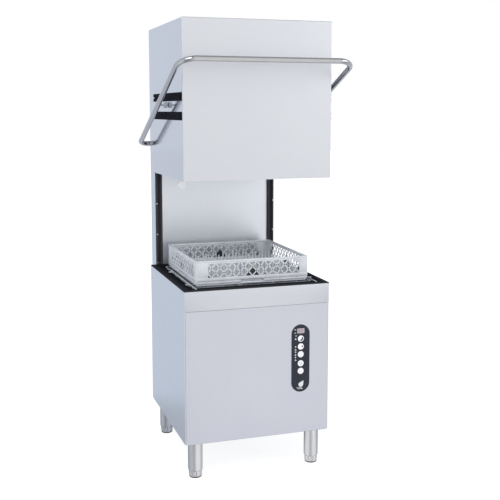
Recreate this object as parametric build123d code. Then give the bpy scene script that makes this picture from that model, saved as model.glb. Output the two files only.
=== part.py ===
from build123d import *
import os
from math import cos, radians, sin

os.makedirs("parts", exist_ok=True)

# A hood-type commercial dishwasher with its hood raised. Millimetres, +Z up, +Y to the rear.
# The origin is on the floor, under the middle of the machine's bounding box.

# Driving dimensions
HALF_WIDTH = 317.5
FRONT = -295.0
CABINET_REAR = 359.0
CABINET_BOTTOM = 160.0
WORKTOP_TOP = 810.0
WORKTOP_THICKNESS = 4.0
PANEL = 1.2
SHEET = 1.5
SLIP = 0.1
RUNNING = 0.05
HOLE_GAP = 0.3
CUT = 1.0

# Wash chamber axis, which the four spray arms turn on
AXIS_Y = 32.0
ARM_REACH = 235.0
ARM_PIN_R = 6.0

# Frame
TUBE = 30.0
TUBE_WALL = 1.5
POST_OUTER_X = 316.0
POST_FRONT = -291.0
POST_REAR = 355.0
FRAME_TOP = 802.0
GUSSET = 86.0
GUSSET_THICKNESS = 5.0
PAN_Z = 166.0

# Legs
LEG_X = 262.5
LEG_YS = (-240.0, 305.0)
SLEEVE_R = 31.0
SLEEVE_BOTTOM = 34.0
FOOT_R = 28.0
FOOT_TIP_R = 20.0
FOOT_SHANK_TOP = 115.0
FOOT_BORE_R = 22.0
FOOT_BORE_BOTTOM = 45.0
FOOT_TIP_HEIGHT = 6.0
FOOT_TAPER = 20.0
SLEEVE_CAP = 5.0

# Front panels
FASCIA_BOTTOM = 723.0
SERVICE_TOP = 722.4
SERVICE_HALF = 314.5
SERVICE_FRONT = -296.0
SERVICE_THICKNESS = 2.0
SERVICE_CORNER = 10.0
FLANGE = 17.5

# Control panel
OVERLAY_X = 189.0
OVERLAY_Z = 488.0
OVERLAY_SIZE = (81.0, 294.0)
OVERLAY_THICKNESS = 2.0
DISPLAY_Z = 608.0
DISPLAY_SIZE = (33.0, 21.0)
BUTTONS = (
    ("button_power", 574.5),
    ("button_short_cycle", 540.0),
    ("button_medium_cycle", 506.0),
    ("button_long_cycle", 466.5),
    ("button_drain", 433.0),
)
BUTTON_R = 13.4
BUTTON_HOLE_R = 13.7
BUTTON_FRONT = -300.0
BUTTON_CAP = 6.0
BUTTON_STEM = 3.0
BUTTON_STEM_R = 6.0
DISPLAY_RECESS = 0.2
DISPLAY_CORNER = 1.5
BOARD_HALF = 40.0
BOARD_Y = (-289.0, -262.0)
BOARD_Z = (335.0, 645.0)
BOARD_WALL = 2.0

# Tank
MOUTH_X = 272.5
MOUTH_FRONT = -245.0
MOUTH_REAR = 309.0
MOUTH_LIP_BOTTOM = 780.0
TANK_TOP = 800.0
HOPPER_TOP = 640.0
SUMP_TOP = 600.0
SUMP_BOTTOM = 540.0
SUMP_HALF = 85.0
FILTER_Z = 700.0
INTAKE = (-60.0, 32.0)
DRAIN = (60.0, -37.0)
DRAIN_BORE_R = 11.0
OVERFLOW = (215.0, -190.0)
OVERFLOW_R = 16.0
OVERFLOW_BOTTOM = 618.0
OVERFLOW_TOP = 730.0
SOCKET_R = 22.0
SOCKET_BOTTOM = 608.0
SOCKET_SEAT = 617.0
SOCKET_TOP = 650.0
SPILL_BORE_R = 10.0
TANK_GAP = 0.2
TRAY_HEIGHT = 12.0
TRAY_INSET = 6.0
TRAY_CUTOUT_R = 74.0
TRAY_SLOT = (28.0, 12.0)
TRAY_SLOT_XS = (95.0, 133.0, 171.0, 209.0, 247.0)
TRAY_SLOT_YS = tuple(-195.0 + 41.0 * row for row in range(12))
OVERFLOW_KEEP_OUT = 50.0
STRAINER_R = 70.0
STRAINER_SLOTS = 12
STRAINER_SLOT_Z = (560.0, 680.0)
TANK_HEATER_X = 225.0
TANK_HEATER_Y = (-130.0, 250.0)
TANK_HEATER_Z = 672.0
TANK_HEATER_GAP = 28.0

# Wash circuit
MANIFOLD_R = 22.5
MANIFOLD_TOP = 738.0
PUMP_Z = 330.0
TEE_Z = 470.0
RISER_R = 19.0
RISER_BORE_R = 17.5
RISER_Y = 400.0
UPPER_PIPE_Z = 1325.0
UPPER_HUB_BOTTOM = 1297.0
UPPER_HUB_R = 24.0
LOWER_PIN_TOP = 800.0
UPPER_PIN_BOTTOM = 1246.0
TEE_REACH = 60.0
PORT_CIRCLE = 14.0
PORT_R = 5.0

# Spray arms: bottom and top of the hub, width and height of the bar, hub radius, heading, jets on top
ARM_WALL = 1.2
JET_R = 3.0
JET_STEPS = (70.0, 110.0, 150.0, 190.0, 220.0)
SPRAY_ARMS = {
    "lower_wash_arm": (741, 775, 40, 20, 32, 28, True),
    "lower_rinse_arm": (778, 796, 22, 12, 20, 80, True),
    "upper_wash_arm": (1268, 1295, 40, 20, 32, -35, False),
    "upper_rinse_arm": (1248, 1264, 22, 12, 20, 60, False),
}

# Rack and its guide
RACK_HALF = 250.0
RACK_HEIGHT = 106.0
RACK_WALL = 6.0
GUIDE_WIRE_R = 4.0
GUIDE_X = 262.0
GUIDE_FRONT = -234.0
GUIDE_REAR = 298.0
SIDE_WIRE_R = 3.0
SIDE_WIRE_X = 264.0
SIDE_WIRE_FRONT = -281.0
SIDE_WIRE_REAR = 205.0
SIDE_WIRE_POSTS = (-210.0, 30.0, 190.0)
RING_YS = (-177.0, 130.0)
CROSS_WIRE_R = 3.0
CROSS_WIRE_XS = (-200.0, -95.0, 95.0, 200.0)
CROSS_WIRE_YS = (-150.0, 214.0)
HOOK_YS = (-180.0, 40.0, 230.0)
RACK_FLOOR = 6.0
RACK_CELLS = 8
RACK_RIB = 8.0
WINDOW_HALF = 75.0
WINDOW_X = 110.0
WINDOW_SILL = 30.0
WINDOW_HEAD = 22.0

# Column behind the chamber
RAIL_X = 277.5
RAIL_WIDTH = 30.0
RAIL_FRONT = 341.0
RAIL_REAR = 353.0
RAIL_BOTTOM = 812.0
COLUMN_TOP = 1440.0
GROOVE_WIDTH = 12.0
GROOVE_DEPTH = 6.0
COLUMN_HALF = 293.5
COLUMN_BOTTOM = 430.0
COLUMN_REAR = 444.0
RAIL_SCREW_ZS = (820.0, 956.0, 1101.0, 1247.0, 1393.0)
VENT = (-163.6, 1187.0)
VENT_CAP_R = 20.0
VENT_STEM_R = 10.0

# Hood, raised
HOOD_BOTTOM = 1256.0
HOOD_TOP = 1898.0
HOOD_REAR = 333.0
HOOD_BEND = 3.0
HOOD_RETURN_X = 258.0
HOOD_LIP = 30.0
SHOE_OFFSETS = (20.0, 130.0)
SHOE_LENGTH = 40.0
TRACK_THICKNESS = 8.0
TRACK_FRONT = -276.0
TRACK_REAR = 213.0
TRACK_HEIGHT = 34.0
TRACK_BOTTOMS = (1497.0, 1574.0)

# Handle, at rest with the hood raised
PIVOT_Y = 367.0
PIVOT_Z = 1383.0
ARM_X = 359.5
BAR_Y = -435.0
BAR_Z = 1731.0
HANDLE_R = 11.0
HANDLE_BORE_R = 9.0
SHAFT_R = 10.0
SHAFT_END = 299.5
BUSH_R = 14.0
CRANK_X = 200.0
CRANK_LENGTH = 45.0
CRANK_ANGLE = -30.0
CRANK_WIDTH = 22.0
SPRING_OFFSET = 14.0
SPRING_R = 15.0
SPRING_BOTTOM = 560.0
SPRING_PITCH = 20
ROLLER_Y = -37.5
ROLLER_Z = 1558.5
ROLLER_R = 12.0
ROLLER_PIN_R = 4.0

# Pump and motor
VOLUTE_HALF = 32.0
VOLUTE_R = 70.0
VOLUTE_BORE_R = 62.0
VOLUTE_OUTLET = 100.0
MANIFOLD_FOOT = 66.0
PUMP_INLET_R = 16.0
PUMP_SHAFT_R = 7.0
IMPELLER_R = 54.0
IMPELLER_BLADES = 6
MOTOR_X = (36.0, 215.0)
MOTOR_R = 52.0
MOTOR_FIN_R = 56.0
MOTOR_FIN_PITCH = 12
MOTOR_FINS_X = (60, 200)
MOTOR_FOOT_X = (90.0, 190.0)
MOTOR_FOOT_HALF = 30.0

# Rinse circuit
BOILER = (-160.0, 220.0)
BOILER_R = 95.0
BOILER_Z = (210.0, 520.0)
BOILER_SKIRT_R = 62.0
HEATER_R = 4.0
HEATER_OFFSETS = (-30.0, 0.0, 30.0)
RINSE_PUMP = (-165.0, 40.0, 240.0)
RINSE_PUMP_R = 34.0
RINSE_PUMP_HALF = 40.0
RINSE_PUMP_OUTLET = 46.0
RINSE_PUMP_FOOT_HALF = 25.0
DOSER_XS = (90.0, 150.0)
DOSER_HALF = 26.0
DOSER_YS = (-250.0, -235.0, -190.0)
DOSER_ZS = (255.0, 325.0)
DOSER_HEAD_R = 22.0
DOSER_BRACKET_X = (60.0, 180.0)
DOSER_BRACKET_TOP = 335.0

# Electrical box
ELECTRICAL_X = (-270.0, -60.0)
ELECTRICAL_Y = (-250.0, -150.0)
ELECTRICAL_TOP = 420.0
ELECTRICAL_WALL = 2.0
ELECTRICAL_LID = 4.0

# Connections through the rear panel
CONNECTION_Z = 230.0
INLET_X = 180.0
INLET_R = 13.2
INLET_BORE_R = 9.0
INLET_END = 386.0
VALVE_FRONT = 300.0
VALVE_HALF = 25.0
GLAND_X = -200.0
GLAND_THREAD_R = 10.0
GLAND_NUT_R = 14.0
CABLE_BORE_R = 6.0
DRAIN_OUT_Z = 210.0
DRAIN_OUT_R = 14.0
DRAIN_WALL = 2.5
DRAIN_END = 400.0
CONNECTION_INNER = 345.0
BORE_START = 350.0

# Hoses
SUCTION_R = 18.0
WASTE_R = 13.0
SPILL_R = 10.0
FILL_R = 9.0
RINSE_R = 8.0
HOSE_GAP = 0.5
SPILL_Y = 150.0
FILL_Y = 240.0

# Screw heads
SCREW_R = 4.5
SCREW_HEIGHT = 2.0
SIDE_SCREW_YS = (-196.0, 337.0)
SIDE_SCREW_Z = 751.0
REAR_SCREW_X = 285.0
REAR_SCREW_ZS = (180.0, 400.0)
COLUMN_SCREW_X = 283.0
COLUMN_SCREW_ZS = (455.0, 690.0, 925.0, 1160.0, 1395.0)
RAIL_SCREW_R = 3.2
RAIL_SCREW_HEIGHT = 0.8
RAIL_SCREW_OFFSET = 10.5


def block(x0, x1, y0, y1, z0, z1):
    """A rectangular solid between two opposite corners."""
    return Pos((x0 + x1) / 2, (y0 + y1) / 2, (z0 + z1) / 2) * Box(x1 - x0, y1 - y0, z1 - z0)


def rod_x(y, z, x0, x1, radius):
    """A cylinder along X."""
    return Pos((x0 + x1) / 2, y, z) * Rot(0, 90, 0) * Cylinder(radius, x1 - x0)


def rod_y(x, z, y0, y1, radius):
    """A cylinder along Y."""
    return Pos(x, (y0 + y1) / 2, z) * Rot(90, 0, 0) * Cylinder(radius, y1 - y0)


def rod_z(x, y, z0, z1, radius):
    """A cylinder along Z."""
    return Pos(x, y, (z0 + z1) / 2) * Cylinder(radius, z1 - z0)


def pipe(points, bend, radius, bore=0.0):
    """A round bar or tube along straight runs joined by arcs."""
    path = FilletPolyline(*points, radius=bend)
    section = Plane(origin=path @ 0, z_dir=path % 0)
    solid = sweep(section * Circle(radius), path)
    if bore:
        solid -= sweep(section * Circle(bore), path)
    return solid


def both_sides(solid):
    """A left or right piece and its mirror image."""
    return solid + mirror(solid, about=Plane.YZ)


def four_corners(make):
    """Pieces made at the four leg positions."""
    return [make(x, y) for x in (-LEG_X, LEG_X) for y in LEG_YS]


def joined(solids):
    """Separate solids held in one node."""
    return Compound(children=[part for solid in solids for part in solid.solids()])


# Cabinet structure

def frame_tubes(inset):
    """The frame's tubes as bars, each face moved in by inset."""
    bars = []
    inner_x = POST_OUTER_X - TUBE
    spans_y = ((POST_FRONT, POST_FRONT + TUBE), (POST_REAR - TUBE, POST_REAR))
    levels = ((CABINET_BOTTOM, CABINET_BOTTOM + TUBE), (FRAME_TOP - TUBE, FRAME_TOP))
    i = inset
    for x0, x1 in ((-POST_OUTER_X, -inner_x), (inner_x, POST_OUTER_X)):
        for y0, y1 in spans_y:
            bars.append(block(x0 + i, x1 - i, y0 + i, y1 - i, CABINET_BOTTOM + i, FRAME_TOP - i))
        for z0, z1 in levels:
            bars.append(block(x0 + i, x1 - i, POST_FRONT + i, POST_REAR - i, z0 + i, z1 - i))
    for y0, y1 in spans_y:
        for z0, z1 in levels:
            bars.append(block(-POST_OUTER_X + i, POST_OUTER_X - i, y0 + i, y1 - i, z0 + i, z1 - i))
    return bars


def base_frame():
    """Welded square tube with a gusset plate over each leg."""
    frame = Part() + frame_tubes(0.0)
    frame -= frame_tubes(TUBE_WALL)
    plates = []
    for y0, y1 in ((POST_FRONT, POST_FRONT + GUSSET), (POST_REAR - GUSSET, POST_REAR)):
        for x0, x1 in ((-POST_OUTER_X, GUSSET - POST_OUTER_X), (POST_OUTER_X - GUSSET, POST_OUTER_X)):
            plates.append(block(x0, x1, y0, y1, CABINET_BOTTOM, CABINET_BOTTOM + GUSSET_THICKNESS))
    return frame + plates


def bottom_pan():
    """Drip pan with upturned edges, inside the frame's lower tubes."""
    x = POST_OUTER_X - TUBE - SLIP
    y0 = POST_FRONT + TUBE + SLIP
    y1 = POST_REAR - TUBE - SLIP
    lip_top = PAN_Z + 20
    pan = block(-x, x, y0, y1, PAN_Z, lip_top)
    return pan - block(-x + PANEL, x - PANEL, y0 + PANEL, y1 - PANEL, PAN_Z + PANEL, lip_top)


def side_panels():
    """Outer side sheets, folded inwards at the front and the rear."""
    top = WORKTOP_TOP - WORKTOP_THICKNESS
    front = FRONT + PANEL + HOLE_GAP
    inner = HALF_WIDTH - FLANGE
    sheet = block(HALF_WIDTH - PANEL, HALF_WIDTH, front, CABINET_REAR, CABINET_BOTTOM, top)
    sheet += block(inner, HALF_WIDTH, front, front + PANEL, CABINET_BOTTOM, top)
    sheet += block(inner, HALF_WIDTH, CABINET_REAR - PANEL, CABINET_REAR, CABINET_BOTTOM, top)
    return both_sides(sheet)


def rear_panel():
    """Rear sheet with holes for the riser, water inlet, drain and cable gland."""
    half = HALF_WIDTH - FLANGE - SLIP
    y0 = CABINET_REAR - PANEL
    sheet = block(-half, half, y0, CABINET_REAR, CABINET_BOTTOM, WORKTOP_TOP - WORKTOP_THICKNESS)
    holes = [
        rod_y(0, TEE_Z, y0 - CUT, CABINET_REAR + CUT, RISER_R + HOLE_GAP),
        rod_y(INLET_X, CONNECTION_Z, y0 - CUT, CABINET_REAR + CUT, INLET_R + HOLE_GAP),
        rod_y(DRAIN[0], DRAIN_OUT_Z, y0 - CUT, CABINET_REAR + CUT, DRAIN_OUT_R + HOLE_GAP),
        rod_y(GLAND_X, CONNECTION_Z, y0 - CUT, CABINET_REAR + CUT, GLAND_THREAD_R + HOLE_GAP),
    ]
    return sheet - holes


def front_face_plate(half_x, half_z, corner, x, z, y0, y1):
    """A flat plate facing the front, with rounded corners."""
    outline = RectangleRounded(2 * half_x, 2 * half_z, corner)
    return Pos(x, y1, z) * Rot(90, 0, 0) * extrude(outline, y1 - y0)


def button_holes(y0, y1):
    """Clearance holes for the push buttons."""
    return [rod_y(OVERLAY_X, z, y0, y1, BUTTON_HOLE_R) for _, z in BUTTONS]


def service_panel():
    """Removable lower front panel, which carries the control panel."""
    half_z = (SERVICE_TOP - CABINET_BOTTOM) / 2
    mid_z = (SERVICE_TOP + CABINET_BOTTOM) / 2
    back = SERVICE_FRONT + SERVICE_THICKNESS
    sheet = front_face_plate(SERVICE_HALF, half_z, SERVICE_CORNER, 0, mid_z, SERVICE_FRONT, back)
    sheet += block(-SERVICE_HALF, SERVICE_HALF, SERVICE_FRONT, back, mid_z, SERVICE_TOP)
    return sheet - button_holes(SERVICE_FRONT - CUT, back + CUT)


def control_fascia():
    """Upper front band, from side to side under the worktop."""
    top = WORKTOP_TOP - WORKTOP_THICKNESS
    return block(-HALF_WIDTH, HALF_WIDTH, FRONT, FRONT + PANEL, FASCIA_BOTTOM, top)


def worktop_surround():
    """Rim round the tank mouth, with a lip that hangs outside the tank."""
    bottom = WORKTOP_TOP - WORKTOP_THICKNESS
    plate = block(-HALF_WIDTH, HALF_WIDTH, FRONT, CABINET_REAR, bottom, WORKTOP_TOP)
    x = MOUTH_X + SHEET
    lip = block(-x, x, MOUTH_FRONT - SHEET, MOUTH_REAR + SHEET, MOUTH_LIP_BOTTOM, bottom)
    rim = plate + lip
    return rim - block(-MOUTH_X, MOUTH_X, MOUTH_FRONT, MOUTH_REAR, MOUTH_LIP_BOTTOM, WORKTOP_TOP)


# Control panel

def control_overlay():
    """Stadium-shaped plate round the buttons, with a window for the display."""
    width, height = OVERLAY_SIZE
    y0 = SERVICE_FRONT - OVERLAY_THICKNESS
    outline = Rot(0, 0, 90) * SlotOverall(height, width)
    plate = Pos(OVERLAY_X, SERVICE_FRONT, OVERLAY_Z) * Rot(90, 0, 0) * extrude(outline, OVERLAY_THICKNESS)
    plate -= button_holes(y0 - CUT, SERVICE_FRONT + CUT)
    half_x, half_z = DISPLAY_SIZE[0] / 2 + SLIP, DISPLAY_SIZE[1] / 2 + SLIP
    x0, x1 = OVERLAY_X - half_x, OVERLAY_X + half_x
    return plate - block(x0, x1, y0 - CUT, SERVICE_FRONT + CUT, DISPLAY_Z - half_z, DISPLAY_Z + half_z)


def display_window():
    """Clear window in the overlay."""
    half_x, half_z = DISPLAY_SIZE[0] / 2, DISPLAY_SIZE[1] / 2
    y0 = SERVICE_FRONT - OVERLAY_THICKNESS + DISPLAY_RECESS
    return front_face_plate(half_x, half_z, DISPLAY_CORNER, OVERLAY_X, DISPLAY_Z, y0, SERVICE_FRONT)


def push_button(z):
    """A round cap on a short stem, just clear of the control board."""
    back = BUTTON_FRONT + BUTTON_CAP
    cap = rod_y(OVERLAY_X, z, BUTTON_FRONT, back, BUTTON_R)
    cap = fillet(cap.edges().sort_by(Axis.Y)[0], 1.2)
    return cap + rod_y(OVERLAY_X, z, back, back + BUTTON_STEM, BUTTON_STEM_R)


def control_board():
    """Circuit board housing behind the buttons."""
    half, wall = BOARD_HALF, BOARD_WALL
    y0, y1 = BOARD_Y
    z0, z1 = BOARD_Z
    box = block(OVERLAY_X - half, OVERLAY_X + half, y0, y1, z0, z1)
    x0, x1 = OVERLAY_X - half + wall, OVERLAY_X + half - wall
    return box - block(x0, x1, y0 + wall, y1, z0 + wall, z1 - wall)


# Legs

def leg_sleeve(x, y):
    """Tube from the frame down to the foot, closed at the top by a plate."""
    sleeve = rod_z(x, y, SLEEVE_BOTTOM, CABINET_BOTTOM, SLEEVE_R)
    return sleeve - rod_z(x, y, SLEEVE_BOTTOM, CABINET_BOTTOM - SLEEVE_CAP, FOOT_R + RUNNING)


def levelling_foot(x, y):
    """Tapered foot on a hollow shank that screws into the sleeve."""
    shank_bottom = FOOT_TIP_HEIGHT + FOOT_TAPER
    tip = rod_z(x, y, 0, FOOT_TIP_HEIGHT, FOOT_TIP_R)
    taper = Pos(x, y, FOOT_TIP_HEIGHT + FOOT_TAPER / 2) * Cone(FOOT_TIP_R, FOOT_R, FOOT_TAPER)
    shank = rod_z(x, y, shank_bottom, FOOT_SHANK_TOP, FOOT_R)
    return tip + taper + shank - rod_z(x, y, FOOT_BORE_BOTTOM, FOOT_SHANK_TOP, FOOT_BORE_R)


# Tank and wash circuit

def hopper(half_x, front, rear, sump_half, top, bottom):
    """The sloping solid between the tank walls and the sump."""
    mid = (front + rear) / 2
    upper = Plane.XY.offset(top) * Pos(0, mid) * Rectangle(2 * half_x, rear - front)
    lower = Plane.XY.offset(bottom) * Pos(0, AXIS_Y) * Rectangle(2 * sump_half, 2 * sump_half)
    return loft([lower.face(), upper.face()])


def wash_tank():
    """Welded tank with sloping floor, sump and overflow socket."""
    x = MOUTH_X - TANK_GAP
    y0 = MOUTH_FRONT + TANK_GAP
    y1 = MOUTH_REAR - TANK_GAP
    s = SHEET
    outer = block(-x, x, y0, y1, HOPPER_TOP, TANK_TOP)
    outer += hopper(x, y0, y1, SUMP_HALF, HOPPER_TOP, SUMP_TOP)
    outer += sump_block(SUMP_HALF, SUMP_BOTTOM, SUMP_TOP)
    ox, oy = OVERFLOW
    socket = rod_z(ox, oy, SOCKET_BOTTOM, SOCKET_TOP, SOCKET_R)
    outer += socket
    inner = block(-x + s, x - s, y0 + s, y1 - s, HOPPER_TOP, TANK_TOP)
    inner += hopper(x - s, y0 + s, y1 - s, SUMP_HALF - s, HOPPER_TOP, SUMP_TOP)
    inner += sump_block(SUMP_HALF - s, SUMP_BOTTOM + s, SUMP_TOP)
    inner -= socket
    inner += rod_z(ox, oy, SOCKET_SEAT, SOCKET_TOP, OVERFLOW_R + RUNNING)
    inner += rod_z(ox, oy, SUMP_TOP, SOCKET_TOP, SPILL_BORE_R)
    inner += rod_z(0, AXIS_Y, SUMP_BOTTOM - CUT, SUMP_TOP, MANIFOLD_R + SLIP)
    inner += rod_z(*INTAKE, SUMP_BOTTOM - CUT, SUMP_TOP, PUMP_INLET_R)
    inner += rod_z(*DRAIN, SUMP_BOTTOM - CUT, SUMP_TOP, DRAIN_BORE_R)
    return outer - inner


def sump_block(half, bottom, top):
    """A square block under the tank floor, centred on the chamber axis."""
    return block(-half, half, AXIS_Y - half, AXIS_Y + half, bottom, top)


def filter_tray(side):
    """One half of the perforated tank filter, with an upturned rim."""
    x0, x1 = 1.0, MOUTH_X - TRAY_INSET
    y0, y1 = MOUTH_FRONT + TRAY_INSET, MOUTH_REAR - TRAY_INSET
    top = FILTER_Z + TRAY_HEIGHT
    below, above = FILTER_Z - CUT, top + CUT
    tray = block(x0, x1, y0, y1, FILTER_Z, top)
    tray -= block(x0 + PANEL, x1 - PANEL, y0 + PANEL, y1 - PANEL, FILTER_Z + PANEL, top)
    tray -= rod_z(0, AXIS_Y, below, above, TRAY_CUTOUT_R)
    slots = []
    for x in TRAY_SLOT_XS:
        for y in TRAY_SLOT_YS:
            if (x - OVERFLOW[0]) ** 2 + (y - OVERFLOW[1]) ** 2 > OVERFLOW_KEEP_OUT**2:
                slots.append(Pos(x, y, FILTER_Z) * Box(*TRAY_SLOT, 2 * PANEL + CUT))
    tray -= slots
    tray -= rod_z(*OVERFLOW, below, above, OVERFLOW_R + 4)
    return tray if side > 0 else mirror(tray, about=Plane.YZ)


def sump_strainer():
    """Round strainer basket round the manifold, slotted, open at the top."""
    z0 = SUMP_BOTTOM + SHEET + 2
    z1 = FILTER_Z - 2
    basket = rod_z(0, AXIS_Y, z0, z1, STRAINER_R) - rod_z(0, AXIS_Y, z0 + 1, z1, STRAINER_R - 1)
    basket -= rod_z(0, AXIS_Y, SUMP_BOTTOM, FILTER_Z, MANIFOLD_R + 2)
    slots = []
    for turn in range(STRAINER_SLOTS):
        slot = block(STRAINER_R - 10, STRAINER_R + 10, -8, 8, *STRAINER_SLOT_Z)
        slots.append(Pos(0, AXIS_Y, 0) * Rot(0, 0, 360 / STRAINER_SLOTS * turn) * slot)
    return basket - slots


def tank_heater():
    """Looped heating element over the tank floor."""
    x, z = TANK_HEATER_X, TANK_HEATER_Z
    y0, y1 = TANK_HEATER_Y
    points = [(-x, y0, z), (x, y0, z), (x, y1, z), (-x, y1, z), (-x, y0 + TANK_HEATER_GAP, z)]
    return pipe(points, 30, HEATER_R)


def overflow_pipe():
    """Lift-out standpipe with a grip ring at the top."""
    x, y = OVERFLOW
    tube = rod_z(x, y, OVERFLOW_BOTTOM, OVERFLOW_TOP, OVERFLOW_R)
    tube += rod_z(x, y, OVERFLOW_TOP - 8, OVERFLOW_TOP, OVERFLOW_R + 3)
    return tube - rod_z(x, y, OVERFLOW_BOTTOM, OVERFLOW_TOP, OVERFLOW_R - 2)


def lower_manifold():
    """Pipe from the pump to the lower arms, with a tee and the arms' pin."""
    x, y = 0.0, AXIS_Y
    pipe_bottom = PUMP_Z + MANIFOLD_FOOT
    tee_end = y + TEE_REACH
    body = rod_z(x, y, pipe_bottom, MANIFOLD_TOP, MANIFOLD_R)
    body += rod_y(x, TEE_Z, y, tee_end, RISER_R)
    body -= rod_z(x, y, pipe_bottom, MANIFOLD_TOP - 6, MANIFOLD_R - 2)
    body -= rod_y(x, TEE_Z, y, tee_end, RISER_BORE_R)
    for turn in (45, 135, 225, 315):
        port_x = PORT_CIRCLE * cos(radians(turn))
        port_y = y + PORT_CIRCLE * sin(radians(turn))
        body -= rod_z(port_x, port_y, MANIFOLD_TOP - 8, MANIFOLD_TOP + CUT, PORT_R)
    return body + rod_z(x, y, MANIFOLD_TOP - 6, LOWER_PIN_TOP, ARM_PIN_R)


def spray_arm(bottom, hub_top, width, thickness, hub_r, turn, jets_up):
    """A hollow bar with rounded ends, jets along one face and a hub on the pin."""
    mid = (bottom + hub_top) / 2
    low, high = mid - thickness / 2, mid + thickness / 2
    wall = ARM_WALL
    bar = Pos(0, 0, low) * extrude(SlotOverall(2 * ARM_REACH, width), thickness)
    inside = SlotOverall(2 * (ARM_REACH - wall), width - 2 * wall)
    bar -= Pos(0, 0, low + wall) * extrude(inside, thickness - 2 * wall)
    bar += rod_z(0, 0, bottom, hub_top, hub_r)
    jet_z = (high - wall - CUT, high + CUT) if jets_up else (low - CUT, low + wall + CUT)
    jets = [rod_z(side * step, 0, *jet_z, JET_R) for side in (-1, 1) for step in JET_STEPS]
    bar -= jets
    bar -= rod_z(0, 0, bottom - CUT, hub_top + CUT, ARM_PIN_R + RUNNING)
    return Pos(0, AXIS_Y, 0) * Rot(0, 0, turn) * bar


def wash_riser():
    """Pipe up the column and forward over the chamber, with the upper arms' pin."""
    points = [
        (0, AXIS_Y + TEE_REACH + TANK_GAP, TEE_Z),
        (0, RISER_Y, TEE_Z),
        (0, RISER_Y, UPPER_PIPE_Z),
        (0, AXIS_Y, UPPER_PIPE_Z),
    ]
    riser = pipe(points, 40, RISER_R, RISER_BORE_R)
    riser += rod_z(0, AXIS_Y, UPPER_HUB_BOTTOM, UPPER_PIPE_Z + RISER_R, UPPER_HUB_R)
    return riser + rod_z(0, AXIS_Y, UPPER_PIN_BOTTOM, UPPER_HUB_BOTTOM, ARM_PIN_R)


# Pump, boiler and other machinery in the cabinet

def wash_pump_volute():
    """Pump housing with an axial inlet and an outlet at the top."""
    outlet_top = PUMP_Z + VOLUTE_OUTLET
    seat = PUMP_Z + MANIFOLD_FOOT
    housing = rod_x(AXIS_Y, PUMP_Z, -VOLUTE_HALF, VOLUTE_HALF, VOLUTE_R)
    housing += rod_z(0, AXIS_Y, PUMP_Z, outlet_top, MANIFOLD_R + 3.5)
    housing -= rod_z(0, AXIS_Y, seat, outlet_top + CUT, MANIFOLD_R + SLIP)
    housing -= rod_z(0, AXIS_Y, PUMP_Z, seat + CUT, SUCTION_R)
    housing -= rod_x(AXIS_Y, PUMP_Z, -VOLUTE_HALF + 4, VOLUTE_HALF - 4, VOLUTE_BORE_R)
    housing -= rod_x(AXIS_Y, PUMP_Z, -VOLUTE_HALF - CUT, -VOLUTE_HALF + 5, PUMP_INLET_R)
    housing -= rod_x(AXIS_Y, PUMP_Z, VOLUTE_HALF - 5, VOLUTE_HALF + CUT, PUMP_SHAFT_R + RUNNING)
    return housing


def wash_pump_motor():
    """Finned motor on a foot, bored for the pump shaft."""
    x0, x1 = MOTOR_X
    motor = rod_x(AXIS_Y, PUMP_Z, x0, x1, MOTOR_R)
    motor += [rod_x(AXIS_Y, PUMP_Z, x, x + 4, MOTOR_FIN_R) for x in range(*MOTOR_FINS_X, MOTOR_FIN_PITCH)]
    half = MOTOR_FOOT_HALF
    motor += block(*MOTOR_FOOT_X, AXIS_Y - half, AXIS_Y + half, PAN_Z + PANEL, PUMP_Z - 45)
    return motor - rod_x(AXIS_Y, PUMP_Z, x0 - 1, x1 - 25, PUMP_SHAFT_R + RUNNING)


def pump_rotor():
    """Impeller on its shaft."""
    rotor = rod_x(AXIS_Y, PUMP_Z, -16, -12, IMPELLER_R)
    rotor += rod_x(AXIS_Y, PUMP_Z, -16, 14, 14.0)
    blade = Pos(0, 32, 0) * Box(18, 42, 4)
    for turn in range(IMPELLER_BLADES):
        rotor += Pos(-3, AXIS_Y, PUMP_Z) * Rot(360 / IMPELLER_BLADES * turn, 0, 0) * blade
    return rotor + rod_x(AXIS_Y, PUMP_Z, 10, 180, PUMP_SHAFT_R)


def boiler_tank():
    """Rinse boiler with domed ends on a round skirt."""
    x, y = BOILER
    z0, z1 = BOILER_Z
    outer = fillet(rod_z(x, y, z0, z1, BOILER_R).edges(), 24)
    inner = fillet(rod_z(x, y, z0 + SHEET, z1 - SHEET, BOILER_R - SHEET).edges(), 22)
    skirt = rod_z(x, y, PAN_Z + PANEL, z0 + 10, BOILER_SKIRT_R)
    skirt -= rod_z(x, y, PAN_Z + PANEL, z0 + 10, BOILER_SKIRT_R - 2)
    return outer + skirt - inner


def boiler_heater():
    """Hairpin heating elements inside the boiler."""
    x, y = BOILER
    loops = []
    for offset in HEATER_OFFSETS:
        foot, crown = BOILER_Z[0] + SHEET + 3, BOILER_Z[1] - 60
        points = [(x - 25, y + offset, foot), (x - 25, y + offset, crown),
                  (x + 25, y + offset, crown), (x + 25, y + offset, foot)]
        loops.append(pipe(points, 24, HEATER_R))
    return joined(loops)


def rinse_pump():
    """Small booster pump on its bracket."""
    x, y, z = RINSE_PUMP
    pump = rod_y(x, z, y - RINSE_PUMP_HALF, y + RINSE_PUMP_HALF, RINSE_PUMP_R)
    pump += rod_z(x, y, z + 20, z + RINSE_PUMP_OUTLET, 12.0)
    half = RINSE_PUMP_FOOT_HALF
    return pump + block(x - half, x + half, y - half, y + half, PAN_Z + PANEL, z - half)


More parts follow.
